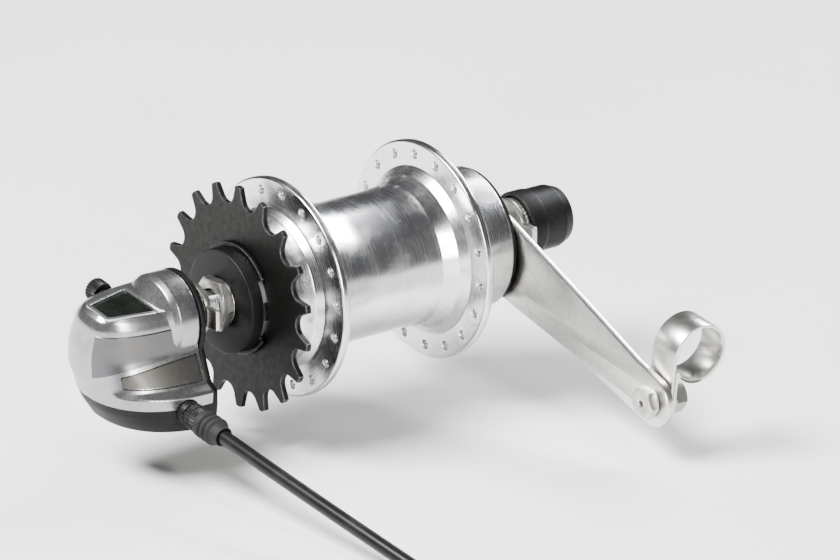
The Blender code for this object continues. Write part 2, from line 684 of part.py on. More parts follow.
def make_box_cover():
    levels = [(SEAM + GAP, 25.2, 22, -109.1, 2.35), (-17.5, 25, 23.2, -110.2, 2.4)]
    levels += [(-16, 21, 23.6, -110.9, 2.5), (SWEEP_TOP, 14.8, 22.8, -111.2, 2.6)]
    levels += [(3.5, 12.3, 19, -109.8, 2.8), (WINDOW_TOP, 10, 13.4, -107.8, 3)]
    back = BOX_BACK - GAP
    cover = body_of("shift_box_cover", SILVER, levels, back)
    dome = [(0, back), (15.5, back), (15.5, -82), (14.4, -84), (7.6, -87.8), (0, -87.8)]
    dome = turned("cover_dome", SILVER, box_axes, dome, 28, turn=(-90, 0, 0), core=True)
    cavity = [(SEAM - OVER, *levels[0][1:]), *levels[:-1]]
    cavity.append((WINDOW_TOP - WALL, 10.6, 14, -107.8, 3))
    cavity = body_of("cover_cavity", SILVER, cavity, BOX_BACK + OVER, 2.2)
    inner = [(0, BOX_BACK + OVER), (13.7, BOX_BACK + OVER), (13.7, -81.6), (12.6, -83.2)]
    inner += [(6.2, -87), (0, -87)]
    inner = turned("dome_cavity", SILVER, box_axes, inner, 28, turn=(-90, 0, 0), core=True)
    combine(cover, "UNION", dome)
    combine(cover, "DIFFERENCE", cavity, inner)
    boss = [(0, -14.7), (2.4, -14.7), (2.4, -20), (1.4, -20), (1.4, -15.8), (0, -15.8)]
    boss = turned("screw_boss", SILVER, box_axes, boss, 12, (*COVER_SCREW, 0), core=True)
    combine(cover, "UNION", boss)
    window = plate("window_hole", BLACK, box_axes, [window_outline(GAP)], WINDOW_TOP - 3, WINDOW_TOP + 2)
    notch = peg("socket_notch", box_axes, 4.2 + GAP, 15, 32, 16, (0, *CABLE), ALONG_X)
    clamp = peg("clamp_hole", box_axes, 2.1, 8, 30, 12, CLAMP, AGAINST_X)
    seat = peg("clamp_seat", box_axes, 4.6, 19.3, 30, 20, CLAMP, AGAINST_X)
    combine(cover, "DIFFERENCE", window, notch, clamp, seat)
    plate("window_lens", LENS, box_axes, [window_outline(0)], WINDOW_TOP - 1.6, WINDOW_TOP + 0.2)


def window_outline(grow):
    return [
        (8.0 + grow, -88.6 + grow),
        (-9.0 - grow, -88.6 + grow),
        (-4.9 - grow, -105.4 - grow),
        (5.0 + grow, -105.4 - grow),
    ]


def make_box_fasteners():
    at = (*COVER_SCREW, 0)
    screw = peg("cover_screw", box_axes, 2.7, BOX_LOW - 1, BOX_LOW + 0.4, 16, at, look=ZINC)
    combine(screw, "UNION", peg("cover_screw_shank", box_axes, 1.1, BOX_LOW, -16.2, 12, at))
    knob = toothed(14, 3.7, 4.1, 0.5, 0.4)
    clamp = plate("clamp_screw", BLACK, box_axes, [knob], 19.6, 24.6, CLAMP, AGAINST_X)
    combine(clamp, "UNION", peg("clamp_shank", box_axes, 1.8, 5.8, 20, 12, CLAMP, AGAINST_X))


def make_crank():
    """The bell crank that turns the cable's pull into a push on the shift rod."""
    x, y = CRANK
    crank = turned("shift_crank", ZINC, box_axes, ring(3.2, 1.5, -29.8, -15.2), 16, (x, y, 0))
    lower = block("crank_lower_arm", box_axes, (-2, 1.8, -27.2), (2, 12, -24.6), (x, y, 0))
    upper = block("crank_upper_arm", box_axes, (-14, -2.4, -18.2), (-1.8, 2.4, -15.2), (x, y, 0))
    post = peg("crank_post", box_axes, 1.6, -17, 4.2, 12, (x - CRANK_ARM, y, 0))
    flag = block("gear_indicator", box_axes, (-14.4, -7, 4.0), (-9.2, 1.6, 5.3), (x, y, 0))
    combine(crank, "UNION", lower, upper, post, flag)
    peg("crank_pivot_pin", box_axes, 1.2, -30.3, -14.4, 12, (x, y, 0), look=STEEL)
    peg("cable_anchor", box_axes, 1.6, -24.3, -21, 12, (x, CABLE[0], 0), look=BRASS)
    wire("inner_wire", STEEL, box_axes, [(14.2, *CABLE), (30.4, *CABLE)], 0.6)


# ---------------------------------------------------------------- cable


def casing_route():
    """The casing's middle line: straight out of the boot, then down and in along the stay."""
    y, z = CABLE
    route = []
    for i in range(CASING_POINTS):
        t = i / (CASING_POINTS - 1)
        route.append((33.9 + CASING_RUN * t, y + 7 * t * t, z - 4 * t * t))
    return route


def make_cable():
    at = (0, *CABLE)
    barrel = [toothed(14, 4.1, 4.5, 0.5, 0.4), circle(1.3, 12)]
    plate("cable_adjuster", BLACK, box_axes, barrel, 27.3, 33.3, at, ALONG_X)
    boot = [(3.5, 45), (3.8, 41), (4.9, 39.6), (4.9, 38.4), (4.2, 37.6), (4.9, 36.4), (4.9, 33.6)]
    turned("cable_boot", RUBBER, box_axes, boot + [(2.8, 33.6), (2.8, 45)], 20, at, ALONG_X)
    route = casing_route()
    wire("cable_casing", BLACK, box_axes, route, CASING_D / 2, 2)
    end, before = route[-1], route[-2]
    run = [e - b for e, b in zip(end, before)]
    dip = math.degrees(math.atan2(-run[2], run[0]))
    swing = math.degrees(math.atan2(run[1], run[0]))
    tip = [(2.1, 5.5), (2.4, 5.2), (3.2, 1.4), (3.3, -8), (2.8, -8), (2.8, 0.3), (0.9, 0.3), (0.9, 5.5)]
    turned("casing_ferrule", ZINC, box_axes, tip, 20, end, (0, 90 + dip, swing))


# ---------------------------------------------------------------- assembly

clear_scene()
hub = new_collection("bicycle_hub_gear")
cutters = new_collection("cutters")
axis = empty("hub_axis", turn=(-90, 0, 0))
arm_axes = empty("brake_arm_axes", axis, (0, 0, ARM_TILT))
box_axes = empty("shift_box_axes", turn=(0, BOX_TILT, 0))

make_axle()
make_bearing_cones()
make_axle_ends()
make_planet_cage()
make_planets()
make_ring_gear()
make_ratchets()
make_clutch()
make_driver()
make_sprocket()
make_shell()
make_brake()
make_brake_arm()
make_box_base()
make_box_cover()
make_box_fasteners()
make_crank()
make_cable()
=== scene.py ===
"""The looks of a bicycle hub gear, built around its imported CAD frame.

Each shape below is written in millimetres in one of three sets of axes: HUB, with its Z axis along
the axle to the bicycle's left, ARM, the same turned with the brake arm, and BOX, tilted down at the
front with the shift box. Places come from the CAD nodes' boxes and from the record's mounts.
"""

import json
import math

import bmesh
import bpy
from mathutils import Matrix, Vector


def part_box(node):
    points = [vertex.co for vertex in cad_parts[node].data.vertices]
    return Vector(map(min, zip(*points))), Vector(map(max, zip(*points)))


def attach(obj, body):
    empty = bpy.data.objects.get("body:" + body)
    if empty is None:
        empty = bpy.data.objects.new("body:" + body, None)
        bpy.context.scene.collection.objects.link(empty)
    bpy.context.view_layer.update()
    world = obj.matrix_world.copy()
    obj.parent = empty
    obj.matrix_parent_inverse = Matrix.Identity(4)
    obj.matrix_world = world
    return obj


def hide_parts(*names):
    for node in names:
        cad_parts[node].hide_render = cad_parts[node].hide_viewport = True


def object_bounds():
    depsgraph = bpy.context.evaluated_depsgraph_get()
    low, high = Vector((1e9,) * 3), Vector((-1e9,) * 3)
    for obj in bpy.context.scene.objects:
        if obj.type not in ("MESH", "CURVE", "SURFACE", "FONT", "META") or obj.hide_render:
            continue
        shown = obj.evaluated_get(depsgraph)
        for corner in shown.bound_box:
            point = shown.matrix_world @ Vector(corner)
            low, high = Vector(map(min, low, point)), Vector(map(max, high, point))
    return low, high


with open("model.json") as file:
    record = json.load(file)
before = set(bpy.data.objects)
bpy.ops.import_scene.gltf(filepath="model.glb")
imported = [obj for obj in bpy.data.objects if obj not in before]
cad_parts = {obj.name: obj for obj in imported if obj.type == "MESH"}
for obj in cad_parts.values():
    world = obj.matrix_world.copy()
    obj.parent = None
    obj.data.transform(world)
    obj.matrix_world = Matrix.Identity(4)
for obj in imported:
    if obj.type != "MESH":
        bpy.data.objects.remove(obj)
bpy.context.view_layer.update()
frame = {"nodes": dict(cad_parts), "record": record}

MM = 0.001
TILT = math.radians(8)
HUB = Matrix.Rotation(-math.pi / 2, 4, "X")
ARM = HUB @ Matrix.Rotation(TILT, 4, "Z")
BOX = Matrix.Rotation(TILT, 4, "Y")
ALONG_X = Matrix.Rotation(math.pi / 2, 4, "Y")
AGAINST_X = Matrix.Rotation(-math.pi / 2, 4, "Y")

FINE = 128  # steps round a large turned piece
SMALL = 64  # steps round a small one


# ---------------------------------------------------------------- places in the frame


def along(node):
    """A node's two ends along the axle, in millimetres."""
    low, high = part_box(node)
    return low.y / MM, high.y / MM


def radius_of(node):
    """How far a node reaches from the axle, in millimetres."""
    low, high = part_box(node)
    return max(-low.x, high.x) / MM


def mount_y(name):
    found = next(m for m in frame["record"]["mounts"] if m["name"] == name)
    return found["pos_m"][1] / MM


def shifted(x=0.0, y=0.0, z=0.0):
    return Matrix.Translation((x, y, z))


# ---------------------------------------------------------------- outlines


def arc(radius, first, last, count, centre=(0, 0)):
    angles = [first + (last - first) * i / (count - 1) for i in range(count)]
    return [(centre[0] + radius * math.cos(a), centre[1] + radius * math.sin(a)) for a in angles]


def circle(radius, count=SMALL, centre=(0, 0)):
    return arc(radius, 0, 2 * math.pi * (count - 1) / count, count, centre)


def hexagon(flats):
    return circle(flats / math.sqrt(3), 6)


def polar(radius, angle):
    return radius * math.cos(angle), radius * math.sin(angle)


def filleted(points, radius, closed=True, steps=4):
    """An outline with each corner rounded, as far as its sides leave room."""
    count = len(points)
    result = []
    for i, corner in enumerate(points):
        if not closed and i in (0, count - 1):
            result.append(corner)
            continue
        here = Vector(corner)
        before = Vector(points[i - 1]) - here
        after = Vector(points[(i + 1) % count]) - here
        if before.length < 1e-6 or after.length < 1e-6:
            continue
        bend = before.angle(after)
        if bend > math.radians(172):
            result.append(corner)
            continue
        reach = min(radius / math.tan(bend / 2), before.length * 0.45, after.length * 0.45)
        start = here + before.normalized() * reach
        end = here + after.normalized() * reach
        for step in range(steps + 1):
            t = step / steps
            spot = start * (1 - t) ** 2 + here * 2 * t * (1 - t) + end * t * t
            result.append(tuple(spot))
    return result


def knurl(teeth, root, tip):
    """A fluted outline."""
    count = teeth * 8
    middle, depth = (root + tip) / 2, (tip - root) / 2
    return [
        polar(middle + depth * math.cos(teeth * 2 * math.pi * i / count), 2 * math.pi * i / count)
        for i in range(count)
    ]


def ribbon(path, thickness):
    """The outline of a strap bent along a path."""
    left, right = [], []
    for i, spot in enumerate(path):
        ahead = Vector(path[min(i + 1, len(path) - 1)])
        run = (ahead - Vector(path[max(i - 1, 0)])).normalized() * thickness / 2
        left.append((spot[0] - run.y, spot[1] + run.x))
        right.append((spot[0] + run.y, spot[1] - run.x))
    return left + right[::-1]


# ---------------------------------------------------------------- meshes


def mesh_from(bm, name="work"):
    bmesh.ops.remove_doubles(bm, verts=bm.verts, dist=1e-4)
    bmesh.ops.recalc_face_normals(bm, faces=bm.faces)
    mesh = bpy.data.meshes.new(name)
    bm.to_mesh(mesh)
    bm.free()
    return mesh


def turned(profile, steps=FINE, fillet=0.3, core=False):
    """A turned body about Z from (radius, height) points. With core it starts and ends on Z."""
    profile = filleted(profile, fillet, closed=not core)
    bm = bmesh.new()
    rows = []
    for i in range(steps):
        angle = 2 * math.pi * i / steps
        rows.append([bm.verts.new((*polar(r, angle), z)) for r, z in profile])
    last = len(profile) - 1 if core else len(profile)
    for i in range(steps):
        row, ahead = rows[i], rows[(i + 1) % steps]
        for a in range(last):
            b = (a + 1) % len(profile)
            if profile[a][0] < 1e-6:
                bm.faces.new((row[a], row[b], ahead[b]))
            elif profile[b][0] < 1e-6:
                bm.faces.new((row[a], row[b], ahead[a]))
            else:
                bm.faces.new((row[a], row[b], ahead[b], ahead[a]))
    return mesh_from(bm)


def ring(outer, inner, low, high):
    return [(outer, high), (outer, low), (inner, low), (inner, high)]


def slab(loops, low, high, edge=0.3):
    """A flat body between two heights, with rounded edges, from an outline and its holes."""
    curve = bpy.data.curves.new("slab", "CURVE")
    curve.dimensions = "2D"
    curve.fill_mode = "BOTH"
    curve.bevel_depth = edge
    curve.bevel_resolution = 1
    curve.offset = -edge
    curve.extrude = (high - low) / 2 - edge
    for loop in loops:
        spline = curve.splines.new("POLY")
        spline.points.add(len(loop) - 1)
        for point, (x, y) in zip(spline.points, loop):
            point.co = (x, y, 0, 1)
        spline.use_cyclic_u = True
    mesh = mesh_of_curve(curve)
    mesh.transform(shifted(z=(high + low) / 2))
    return mesh


def mesh_of_curve(curve):
    guide = bpy.data.objects.new("guide", curve)
    bpy.context.scene.collection.objects.link(guide)
    made = bpy.data.meshes.new_from_object(guide.evaluated_get(bpy.context.evaluated_depsgraph_get()))
    bpy.data.objects.remove(guide)
    bm = bmesh.new()
    bm.from_mesh(made)
    bpy.data.meshes.remove(made)
    return mesh_from(bm)


def lofted(rings):
    """A closed body through rings of equally many points. Point i of a ring and the point i before
    its start stand at the same X, so strips between such pairs close the two ends."""
    bm = bmesh.new()
    rows = [[bm.verts.new(p) for p in loop] for loop in rings]
    count = len(rows[0])
    for row, above in zip(rows, rows[1:]):
        for i in range(count):
            j = (i + 1) % count
            bm.faces.new((row[i], row[j], above[j], above[i]))
    for row in (rows[0], rows[-1]):
        for i in range(count // 2):
            corners = (row[i], row[i + 1], row[(-i - 1) % count], row[-i % count])
            bm.faces.new(tuple(dict.fromkeys(corners)))
    return mesh_from(bm)


def moved(mesh, matrix):
    mesh.transform(matrix)
    return mesh


def spheres(spots, radius):
    bm = bmesh.new()
    for spot in spots:
        ball = bmesh.ops.create_uvsphere(bm, u_segments=24, v_segments=16, radius=radius)
        bmesh.ops.translate(bm, verts=ball["verts"], vec=spot)
    return mesh_from(bm)


def block(low, high):
    bm = bmesh.new()
    bmesh.ops.create_cube(bm, size=1)
    size = [h - l for l, h in zip(low, high)]
    middle = [(h + l) / 2 for l, h in zip(low, high)]
    bmesh.ops.scale(bm, verts=bm.verts, vec=size)
    bmesh.ops.translate(bm, verts=bm.verts, vec=middle)
    return mesh_from(bm)


def peg(radius, low, high, steps=32, fillet=0.0):
    return turned([(0, high), (radius, high), (radius, low), (0, low)], steps, fillet, core=True)


def combined(mesh, how, *tools):
    """A mesh with others joined to it or cut out of it."""
    target = bpy.data.objects.new("target", mesh)
    bpy.context.scene.collection.objects.link(target)
    helpers = []
    for tool in tools:
        helper = bpy.data.objects.new("helper", tool)
        bpy.context.scene.collection.objects.link(helper)
        helpers.append(helper)
        step = target.modifiers.new("step", "BOOLEAN")
        step.operation = how
        step.solver = "EXACT"
        step.object = helper
    made = bpy.data.meshes.new_from_object(
        target.evaluated_get(bpy.context.evaluated_depsgraph_get())
    )
    for obj in [target, *helpers]:
        bpy.data.objects.remove(obj)
    return made


# ---------------------------------------------------------------- materials


class Nodes:
    """A material's node tree, with short names for what this script joins together."""

    def __init__(self, name, colour, roughness, metallic):
        self.material = bpy.data.materials.new(name)
        self.material.use_nodes = True
        self.tree = self.material.node_tree
        self.shader = self.tree.nodes["Principled BSDF"]
        self.shader.inputs["Base Color"].default_value = (*colour, 1)
        self.shader.inputs["Roughness"].default_value = roughness
        self.shader.inputs["Metallic"].default_value = metallic
        self.spot = self.add("ShaderNodeTexCoord").outputs["Object"]

    def add(self, kind, **values):
        node = self.tree.nodes.new(kind)
        for key, value in values.items():
            setattr(node, key, value)
        return node

    def feed(self, socket, value):
        if isinstance(value, bpy.types.NodeSocket):
            self.tree.links.new(value, socket)
        else:
            socket.default_value = value

    def math(self, what, *values):
        node = self.add("ShaderNodeMath", operation=what)
        for socket, value in zip(node.inputs, values):
            self.feed(socket, value)
        return node.outputs[0]

    def noise(self, scale, detail=3.0, where=None, one_way=False):
        node = self.add("ShaderNodeTexNoise")
        if one_way:
            node.noise_dimensions = "1D"
            self.feed(node.inputs["W"], where)
        else:
            self.feed(node.inputs["Vector"], where or self.spot)
        node.inputs["Scale"].default_value = scale
        node.inputs["Detail"].default_value = detail
        return node.outputs[0]

    def stretched(self, scale):
        node = self.add("ShaderNodeMapping")
        self.feed(node.inputs["Vector"], self.spot)
        node.inputs["Scale"].default_value = scale
        return node.outputs[0]

    def lathe(self):
        """Rises along the axle and with the distance from it, so it makes turned rings."""
        parts = self.add("ShaderNodeSeparateXYZ")
        self.feed(parts.inputs[0], self.spot)
        x, y, z = parts.outputs
        squares = self.math("ADD", self.math("MULTIPLY", x, x), self.math("MULTIPLY", z, z))
        return self.math("ADD", self.math("SQRT", squares), y)

    def between(self, value, low, high, start=0.0, end=1.0):
        node = self.add("ShaderNodeMapRange")
        self.feed(node.inputs["Value"], value)
        for name, number in zip(
            ("From Min", "From Max", "To Min", "To Max"), (start, end, low, high)
        ):
            node.inputs[name].default_value = number
        return node.outputs[0]

    def mixed(self, share, first, second):
        node = self.add("ShaderNodeMix", data_type="RGBA")
        self.feed(node.inputs[0], share)
        for socket, value in ((node.inputs[6], first), (node.inputs[7], second)):
            if isinstance(value, tuple):
                value = (*value, 1)
            self.feed(socket, value)
        return node.outputs[2]

    def edges(self, radius, reach):
        """1 along sharp edges and 0 on flats."""
        bevel = self.add("ShaderNodeBevel", samples=6)
        bevel.inputs["Radius"].default_value = radius
        normal = self.add("ShaderNodeNewGeometry").outputs["Normal"]
        dot = self.add("ShaderNodeVectorMath", operation="DOT_PRODUCT")
        self.feed(dot.inputs[0], bevel.outputs[0])
        self.feed(dot.inputs[1], normal)
        return self.between(dot.outputs["Value"], 1.0, 0.0, 1.0 - reach, 1.0)

    def bump(self, height, strength, distance):
        node = self.add("ShaderNodeBump")
        node.inputs["Strength"].default_value = strength
        node.inputs["Distance"].default_value = distance
        self.feed(node.inputs["Height"], height)
        if self.shader.inputs["Normal"].is_linked:
            self.feed(node.inputs["Normal"], self.shader.inputs["Normal"].links[0].from_socket)
        self.feed(self.shader.inputs["Normal"], node.outputs[0])

    def tint(self, value):
        self.feed(self.shader.inputs["Base Color"], value)

    def rough(self, value):
        self.feed(self.shader.inputs["Roughness"], value)


def dimmed(colour, share):
    return tuple(c * share for c in colour)


def turned_metal(name, colour, roughness, stain=(0.20, 0.17, 0.13), soil=0.25):
    """Polished or machined metal with fine turning marks and a film of road dirt."""
    n = Nodes(name, colour, roughness, 1.0)
    rings = n.noise(5200, 4, n.lathe(), one_way=True)
    blotch = n.noise(90, 5)
    specks = n.noise(900, 3)
    dirt = n.between(blotch, 0.0, soil, 0.52, 0.78)
    dirt = n.math("MULTIPLY", dirt, n.between(specks, 0.3, 1.0, 0.35, 0.65))
    base = n.mixed(n.between(rings, 0.0, 1.0, 0.3, 0.7), dimmed(colour, 0.9), colour)
    n.tint(n.mixed(dirt, base, stain))
    fine_wave = n.between(rings, -0.05, 0.07, 0.3, 0.7)
    wave = n.math("ADD", fine_wave, n.between(blotch, -0.03, 0.08, 0.3, 0.7))
    n.rough(n.math("ADD", wave, n.math("MULTIPLY_ADD", dirt, 0.35, roughness)))
    n.bump(rings, 0.18, 0.00004)
    n.bump(specks, 0.06, 0.00006)
    return n.material


def plated(name, colour, roughness):
    """Zinc or nickel plate: a faint spangle, and dull patches where it has tarnished."""
    n = Nodes(name, colour, roughness, 1.0)
    spangle = n.add("ShaderNodeTexVoronoi")
    spangle.inputs["Scale"].default_value = 750
    n.feed(spangle.inputs["Vector"], n.spot)
    tarnish = n.noise(320, 6)
    fine = n.noise(2600, 3)
    patches = n.between(tarnish, 0.0, 0.5, 0.50, 0.74)
    patches = n.math("MULTIPLY", patches, n.between(fine, 0.3, 1.0, 0.4, 0.6))
    base = n.mixed(n.between(spangle.outputs["Color"], 0.0, 1.0), dimmed(colour, 0.9), colour)
    worn = n.mixed(n.edges(0.0004, 0.10), base, (0.80, 0.80, 0.79))
    n.tint(n.mixed(patches, worn, (0.40, 0.37, 0.32)))
    n.rough(n.math("ADD", n.math("MULTIPLY_ADD", patches, 0.28, roughness), n.between(fine, -0.05, 0.07)))
    n.bump(fine, 0.12, 0.00005)
    return n.material


def dark_steel(name, colour=(0.030, 0.029, 0.028), roughness=0.42):
    """Hardened steel under old chain oil, bright where it rubs."""
    n = Nodes(name, colour, roughness, 0.85)
    oil = n.noise(420, 6)
    grit = n.noise(1900, 4)
    rings = n.noise(3600, 3, n.lathe(), one_way=True)
    base = n.mixed(n.between(oil, 0.0, 1.0, 0.35, 0.75), colour, dimmed(colour, 0.8))
    bright = n.math("MULTIPLY", n.edges(0.0005, 0.14), n.between(grit, 0.35, 1.0, 0.35, 0.6))
    n.tint(n.mixed(bright, base, (0.42, 0.41, 0.40)))
    wet = n.between(oil, -0.04, 0.06, 0.35, 0.65)
    n.rough(n.math("ADD", wet, n.between(grit, roughness - 0.04, roughness + 0.06)))
    n.bump(grit, 0.22, 0.00008)
    n.bump(rings, 0.12, 0.00004)
    return n.material


def moulded(name, colour=(0.007, 0.007, 0.0075), roughness=0.42, grain=2400):
    """Black moulded plastic: fine grain, rubbed edges and dust."""
    n = Nodes(name, colour, roughness, 0.0)
    pores = n.noise(grain, 4)
    dust = n.noise(70, 6)
    share = n.between(dust, 0.0, 0.45, 0.50, 0.74)
    share = n.math("MULTIPLY", share, n.between(n.noise(1300, 2), 0.2, 1.0, 0.4, 0.6))
    rubbed = n.mixed(n.edges(0.0004, 0.10), colour, (0.045, 0.045, 0.047))
    n.tint(n.mixed(share, rubbed, (0.050, 0.046, 0.040)))
    n.rough(n.math("ADD", n.math("MULTIPLY_ADD", share, 0.25, roughness), n.between(pores, -0.05, 0.07)))
    n.bump(pores, 0.20, 0.00006)
    n.shader.inputs["Specular IOR Level"].default_value = 0.28
    return n.material


def lacquer(name, colour=(0.40, 0.402, 0.412), roughness=0.24):
    """Silver lacquer over moulded plastic: fine flakes, soft orange peel, dark rubbed edges."""
    n = Nodes(name, colour, roughness, 0.92)
    flakes = n.add("ShaderNodeTexVoronoi")
    flakes.inputs["Scale"].default_value = 5200
    n.feed(flakes.inputs["Vector"], n.spot)
    peel = n.noise(650, 2)
    grime = n.noise(120, 6)
    share = n.between(grime, 0.0, 0.42, 0.52, 0.76)
    base = n.mixed(n.between(flakes.outputs["Color"], 0.0, 1.0), dimmed(colour, 0.86), colour)
    worn = n.math("MULTIPLY", n.edges(0.0004, 0.10), n.between(n.noise(800, 3), 0.0, 0.5, 0.45, 0.6))
    base = n.mixed(worn, base, (0.16, 0.16, 0.165))
    n.tint(n.mixed(share, base, (0.23, 0.21, 0.18)))
    n.rough(n.math("MULTIPLY_ADD", share, 0.3, n.between(peel, roughness - 0.05, roughness + 0.06)))
    n.bump(peel, 0.10, 0.00010)
    n.shader.inputs["Coat Weight"].default_value = 0.2
    n.shader.inputs["Coat Roughness"].default_value = 0.12
    return n.material


def rubber(name):
    n = Nodes(name, (0.028, 0.027, 0.027), 0.72, 0.0)
    grain = n.noise(1500, 5)
    bloom = n.noise(110, 5)
    share = n.between(bloom, 0.0, 0.6, 0.48, 0.72)
    n.tint(n.mixed(share, (0.014, 0.0135, 0.0135), (0.045, 0.042, 0.038)))
    n.rough(n.between(grain, 0.62, 0.84))
    n.bump(grain, 0.35, 0.00009)
    return n.material


def dark_lens(name):
    """Clear dark plastic with a smoky, scratched face."""
    n = Nodes(name, (0.010, 0.012, 0.010), 0.16, 0.0)
    haze = n.noise(130, 5)
    scratches = n.noise(60, 6, n.stretched((60, 9, 9)))
    fine = n.between(scratches, 0.0, 0.35, 0.60, 0.70)
    n.tint(n.mixed(n.between(haze, 0.0, 0.8, 0.4, 0.7), (0.008, 0.010, 0.008), (0.018, 0.020, 0.016)))
    n.rough(n.math("ADD", fine, n.between(haze, 0.12, 0.20, 0.35, 0.65)))
    n.bump(haze, 0.03, 0.00010)
    n.shader.inputs["Specular IOR Level"].default_value = 0.30
    return n.material


def floor_paint(name):
    n = Nodes(name, (0.78, 0.78, 0.77), 0.62, 0.0)
    soft = n.noise(9, 4)
    n.tint(n.mixed(n.between(soft, 0.0, 1.0, 0.3, 0.7), (0.76, 0.76, 0.755), (0.80, 0.80, 0.795)))
    n.bump(n.noise(500, 3), 0.04, 0.0002)
    return n.material


# ---------------------------------------------------------------- pieces


def piece(name, mesh, look, body, nodes=(), axes=HUB, corner=30):
    """A finished piece: put in place, given its material, and tied to its CAD body."""
    mesh.transform(Matrix.Scale(MM, 4) @ axes)
    mesh.name = name
    mesh.materials.clear()
    mesh.materials.append(look)
    for face in mesh.polygons:
        face.material_index = 0
    mesh.shade_smooth()
    mesh.set_sharp_from_angle(angle=math.radians(corner))
    made = bpy.data.objects.new(name, mesh)
    bpy.context.scene.collection.objects.link(made)
    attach(made, body)
    if nodes:
        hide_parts(*nodes)
    return made


def softened(obj, width=0.3, segments=2, angle=40):
    """Rounds a piece's sharp edges."""
    bevel = obj.modifiers.new("soft_edges", "BEVEL")
    bevel.width = width * MM
    bevel.segments = segments
    bevel.limit_method = "ANGLE"
    bevel.angle_limit = math.radians(angle)
    bevel.use_clamp_overlap = True
    return obj


def hex_nut(flats, bore, low, high, chamfer=0.8):
    """A nut whose corners are turned off at both ends."""
    corner = flats / math.sqrt(3) + 0.01
    body = slab([hexagon(flats), circle(bore)], low, high, 0.12)
    shape = [(0, high + 0.01), (flats / 2 - 0.1, high + 0.01), (corner, high - chamfer)]
    shape += [(corner, low + chamfer), (flats / 2 - 0.1, low - 0.01), (0, low - 0.01)]
    return combined(body, "INTERSECT", turned(shape, SMALL, 0, core=True))


# ---------------------------------------------------------------- axle and its hardware

STEEL = (0.56, 0.56, 0.57)
ZINC = (0.66, 0.65, 0.62)
AXLE_R = 5.25
AXLE_FLAT = 4.2
THREAD = 1.0


def threaded(radius, low, high, pitch=THREAD, depth=0.32):
    """The outer side of a thread, as (radius, height) points going down."""
    points = []
    for i in range(int((high - low) / pitch)):
        z = high - i * pitch
        points += [(radius, z - 0.25 * pitch), (radius - depth, z - 0.75 * pitch)]
    return points


def make_axle():
    right, left = along("axle_with_sun_gear")
    cone_face = along("brake_lever_cone")[1] - 12
    profile = [(0, left), (AXLE_R - 1, left)] + threaded(AXLE_R, cone_face, left - 1)
    profile += [(AXLE_R, cone_face - 1), (AXLE_R, -42)]
    profile += threaded(AXLE_R, right + 1, -43) + [(AXLE_R - 1, right)]
    profile += [(1.8, right), (1.8, -9.5), (0, -9.5)]
    axle = turned(profile, SMALL, 0.08, core=True)
    teeth = gear_outline(16, 0.8)
    axle = combined(axle, "UNION", slab([teeth], -2, 14, 0.15))
    cuts = [block((-9, -1.7, -20.4), (9, 1.7, -9.7))]
    for low, high in ((57, left + 5), (right - 5, -57)):
        cuts += [block((-9, AXLE_FLAT, low), (9, 9, high)), block((-9, -9, low), (9, -AXLE_FLAT, high))]
    axle = combined(axle, "DIFFERENCE", *cuts)
    piece("axle", axle, turned_metal("axle_steel", STEEL, 0.30), "axle_unit", ["axle_with_sun_gear"])


def gear_outline(teeth, module):
    """A gear's outline with rounded flanks."""
    pitch_r = module * teeth / 2
    pitch = 2 * math.pi / teeth
    flank = ((pitch_r - 0.85, 0.44), (pitch_r, 0.35), (pitch_r + 0.5, 0.22))
    loop = []
    for i in range(teeth):
        middle = i * pitch
        for r, share in flank:
            loop.append(polar(r, middle - share * pitch / 2))
        for r, share in reversed(flank):
            loop.append(polar(r, middle + share * pitch / 2))
    return loop


def make_end_hardware():
    """Cones, locknuts, washers, axle nuts and the left nut's cap."""
    zinc = plated("zinc_plate", ZINC, 0.34)
    cone_steel = turned_metal("cone_steel", STEEL, 0.26)
    bore = AXLE_R + 0.3
    low, high = along("right_cone")
    cone = [(7.6, high), (8.9, high - 2), (9.0, -50), (8.2, -50.6), (8.2, low), (bore, low), (bore, high)]
    piece("right_cone_fine", turned(cone, SMALL), cone_steel, "axle_unit", ["right_cone"])
    low, high = along("brake_lever_cone")
    cone = [(8.6, high), (8.6, 50.4), (12.3, 50.2), (12.3, 44.6), (15.2, 43.2), (12.4, low)]
    cone += [(bore, low), (bore, high)]
    piece("lever_cone_fine", turned(cone), cone_steel, "axle_unit", ["brake_lever_cone"])
    for side in ("right", "left"):
        node = f"{side}_locknut"
        nut = hex_nut(17, bore, *along(node))
        piece(node + "_fine", nut, zinc, "axle_unit", [node])
        node = f"{side}_no_turn_washer"
        make_no_turn_washer(node, zinc)
        node = f"{side}_axle_nut"
        low, high = along(node)
        if side == "left":
            nut, rim = hex_nut(15, bore, low + 0.2, high, 1.0), (low, low + 1.6)
        else:
            nut, rim = hex_nut(15, bore, low, high - 0.2, 1.0), (high - 1.6, high)
        rim = slab([knurl(40, 9.15, 9.4), circle(bore + 0.37)], *rim, 0.15)
        piece(node + "_fine", combined(nut, "UNION", rim), zinc, "axle_unit", [node])
    low, high = along("left_nut_cap")
    profile = [(0, high), (6.4, high - 0.4), (9.6, high - 2.4), (10.9, 83), (10.95, 75), (11.3, 74.4)]
    profile += [(11.3, low), (9.8, low), (9.6, 83.2), (0, 83.8)]
    cap = turned(profile, FINE, 1.2, core=True)
    piece("nut_cap", cap, moulded("cap_plastic"), "axle_unit", ["left_nut_cap"])
    low, high = along("right_dust_shield")
    profile = [(18.0, high), (18.0, low), (8.5, low), (8.5, low + 1.2), (17.5, low + 1.2), (17.5, high)]
    shield = turned(profile, FINE, 0.5)
    piece("dust_shield", shield, moulded("shield_plastic"), "axle_unit", ["right_dust_shield"])


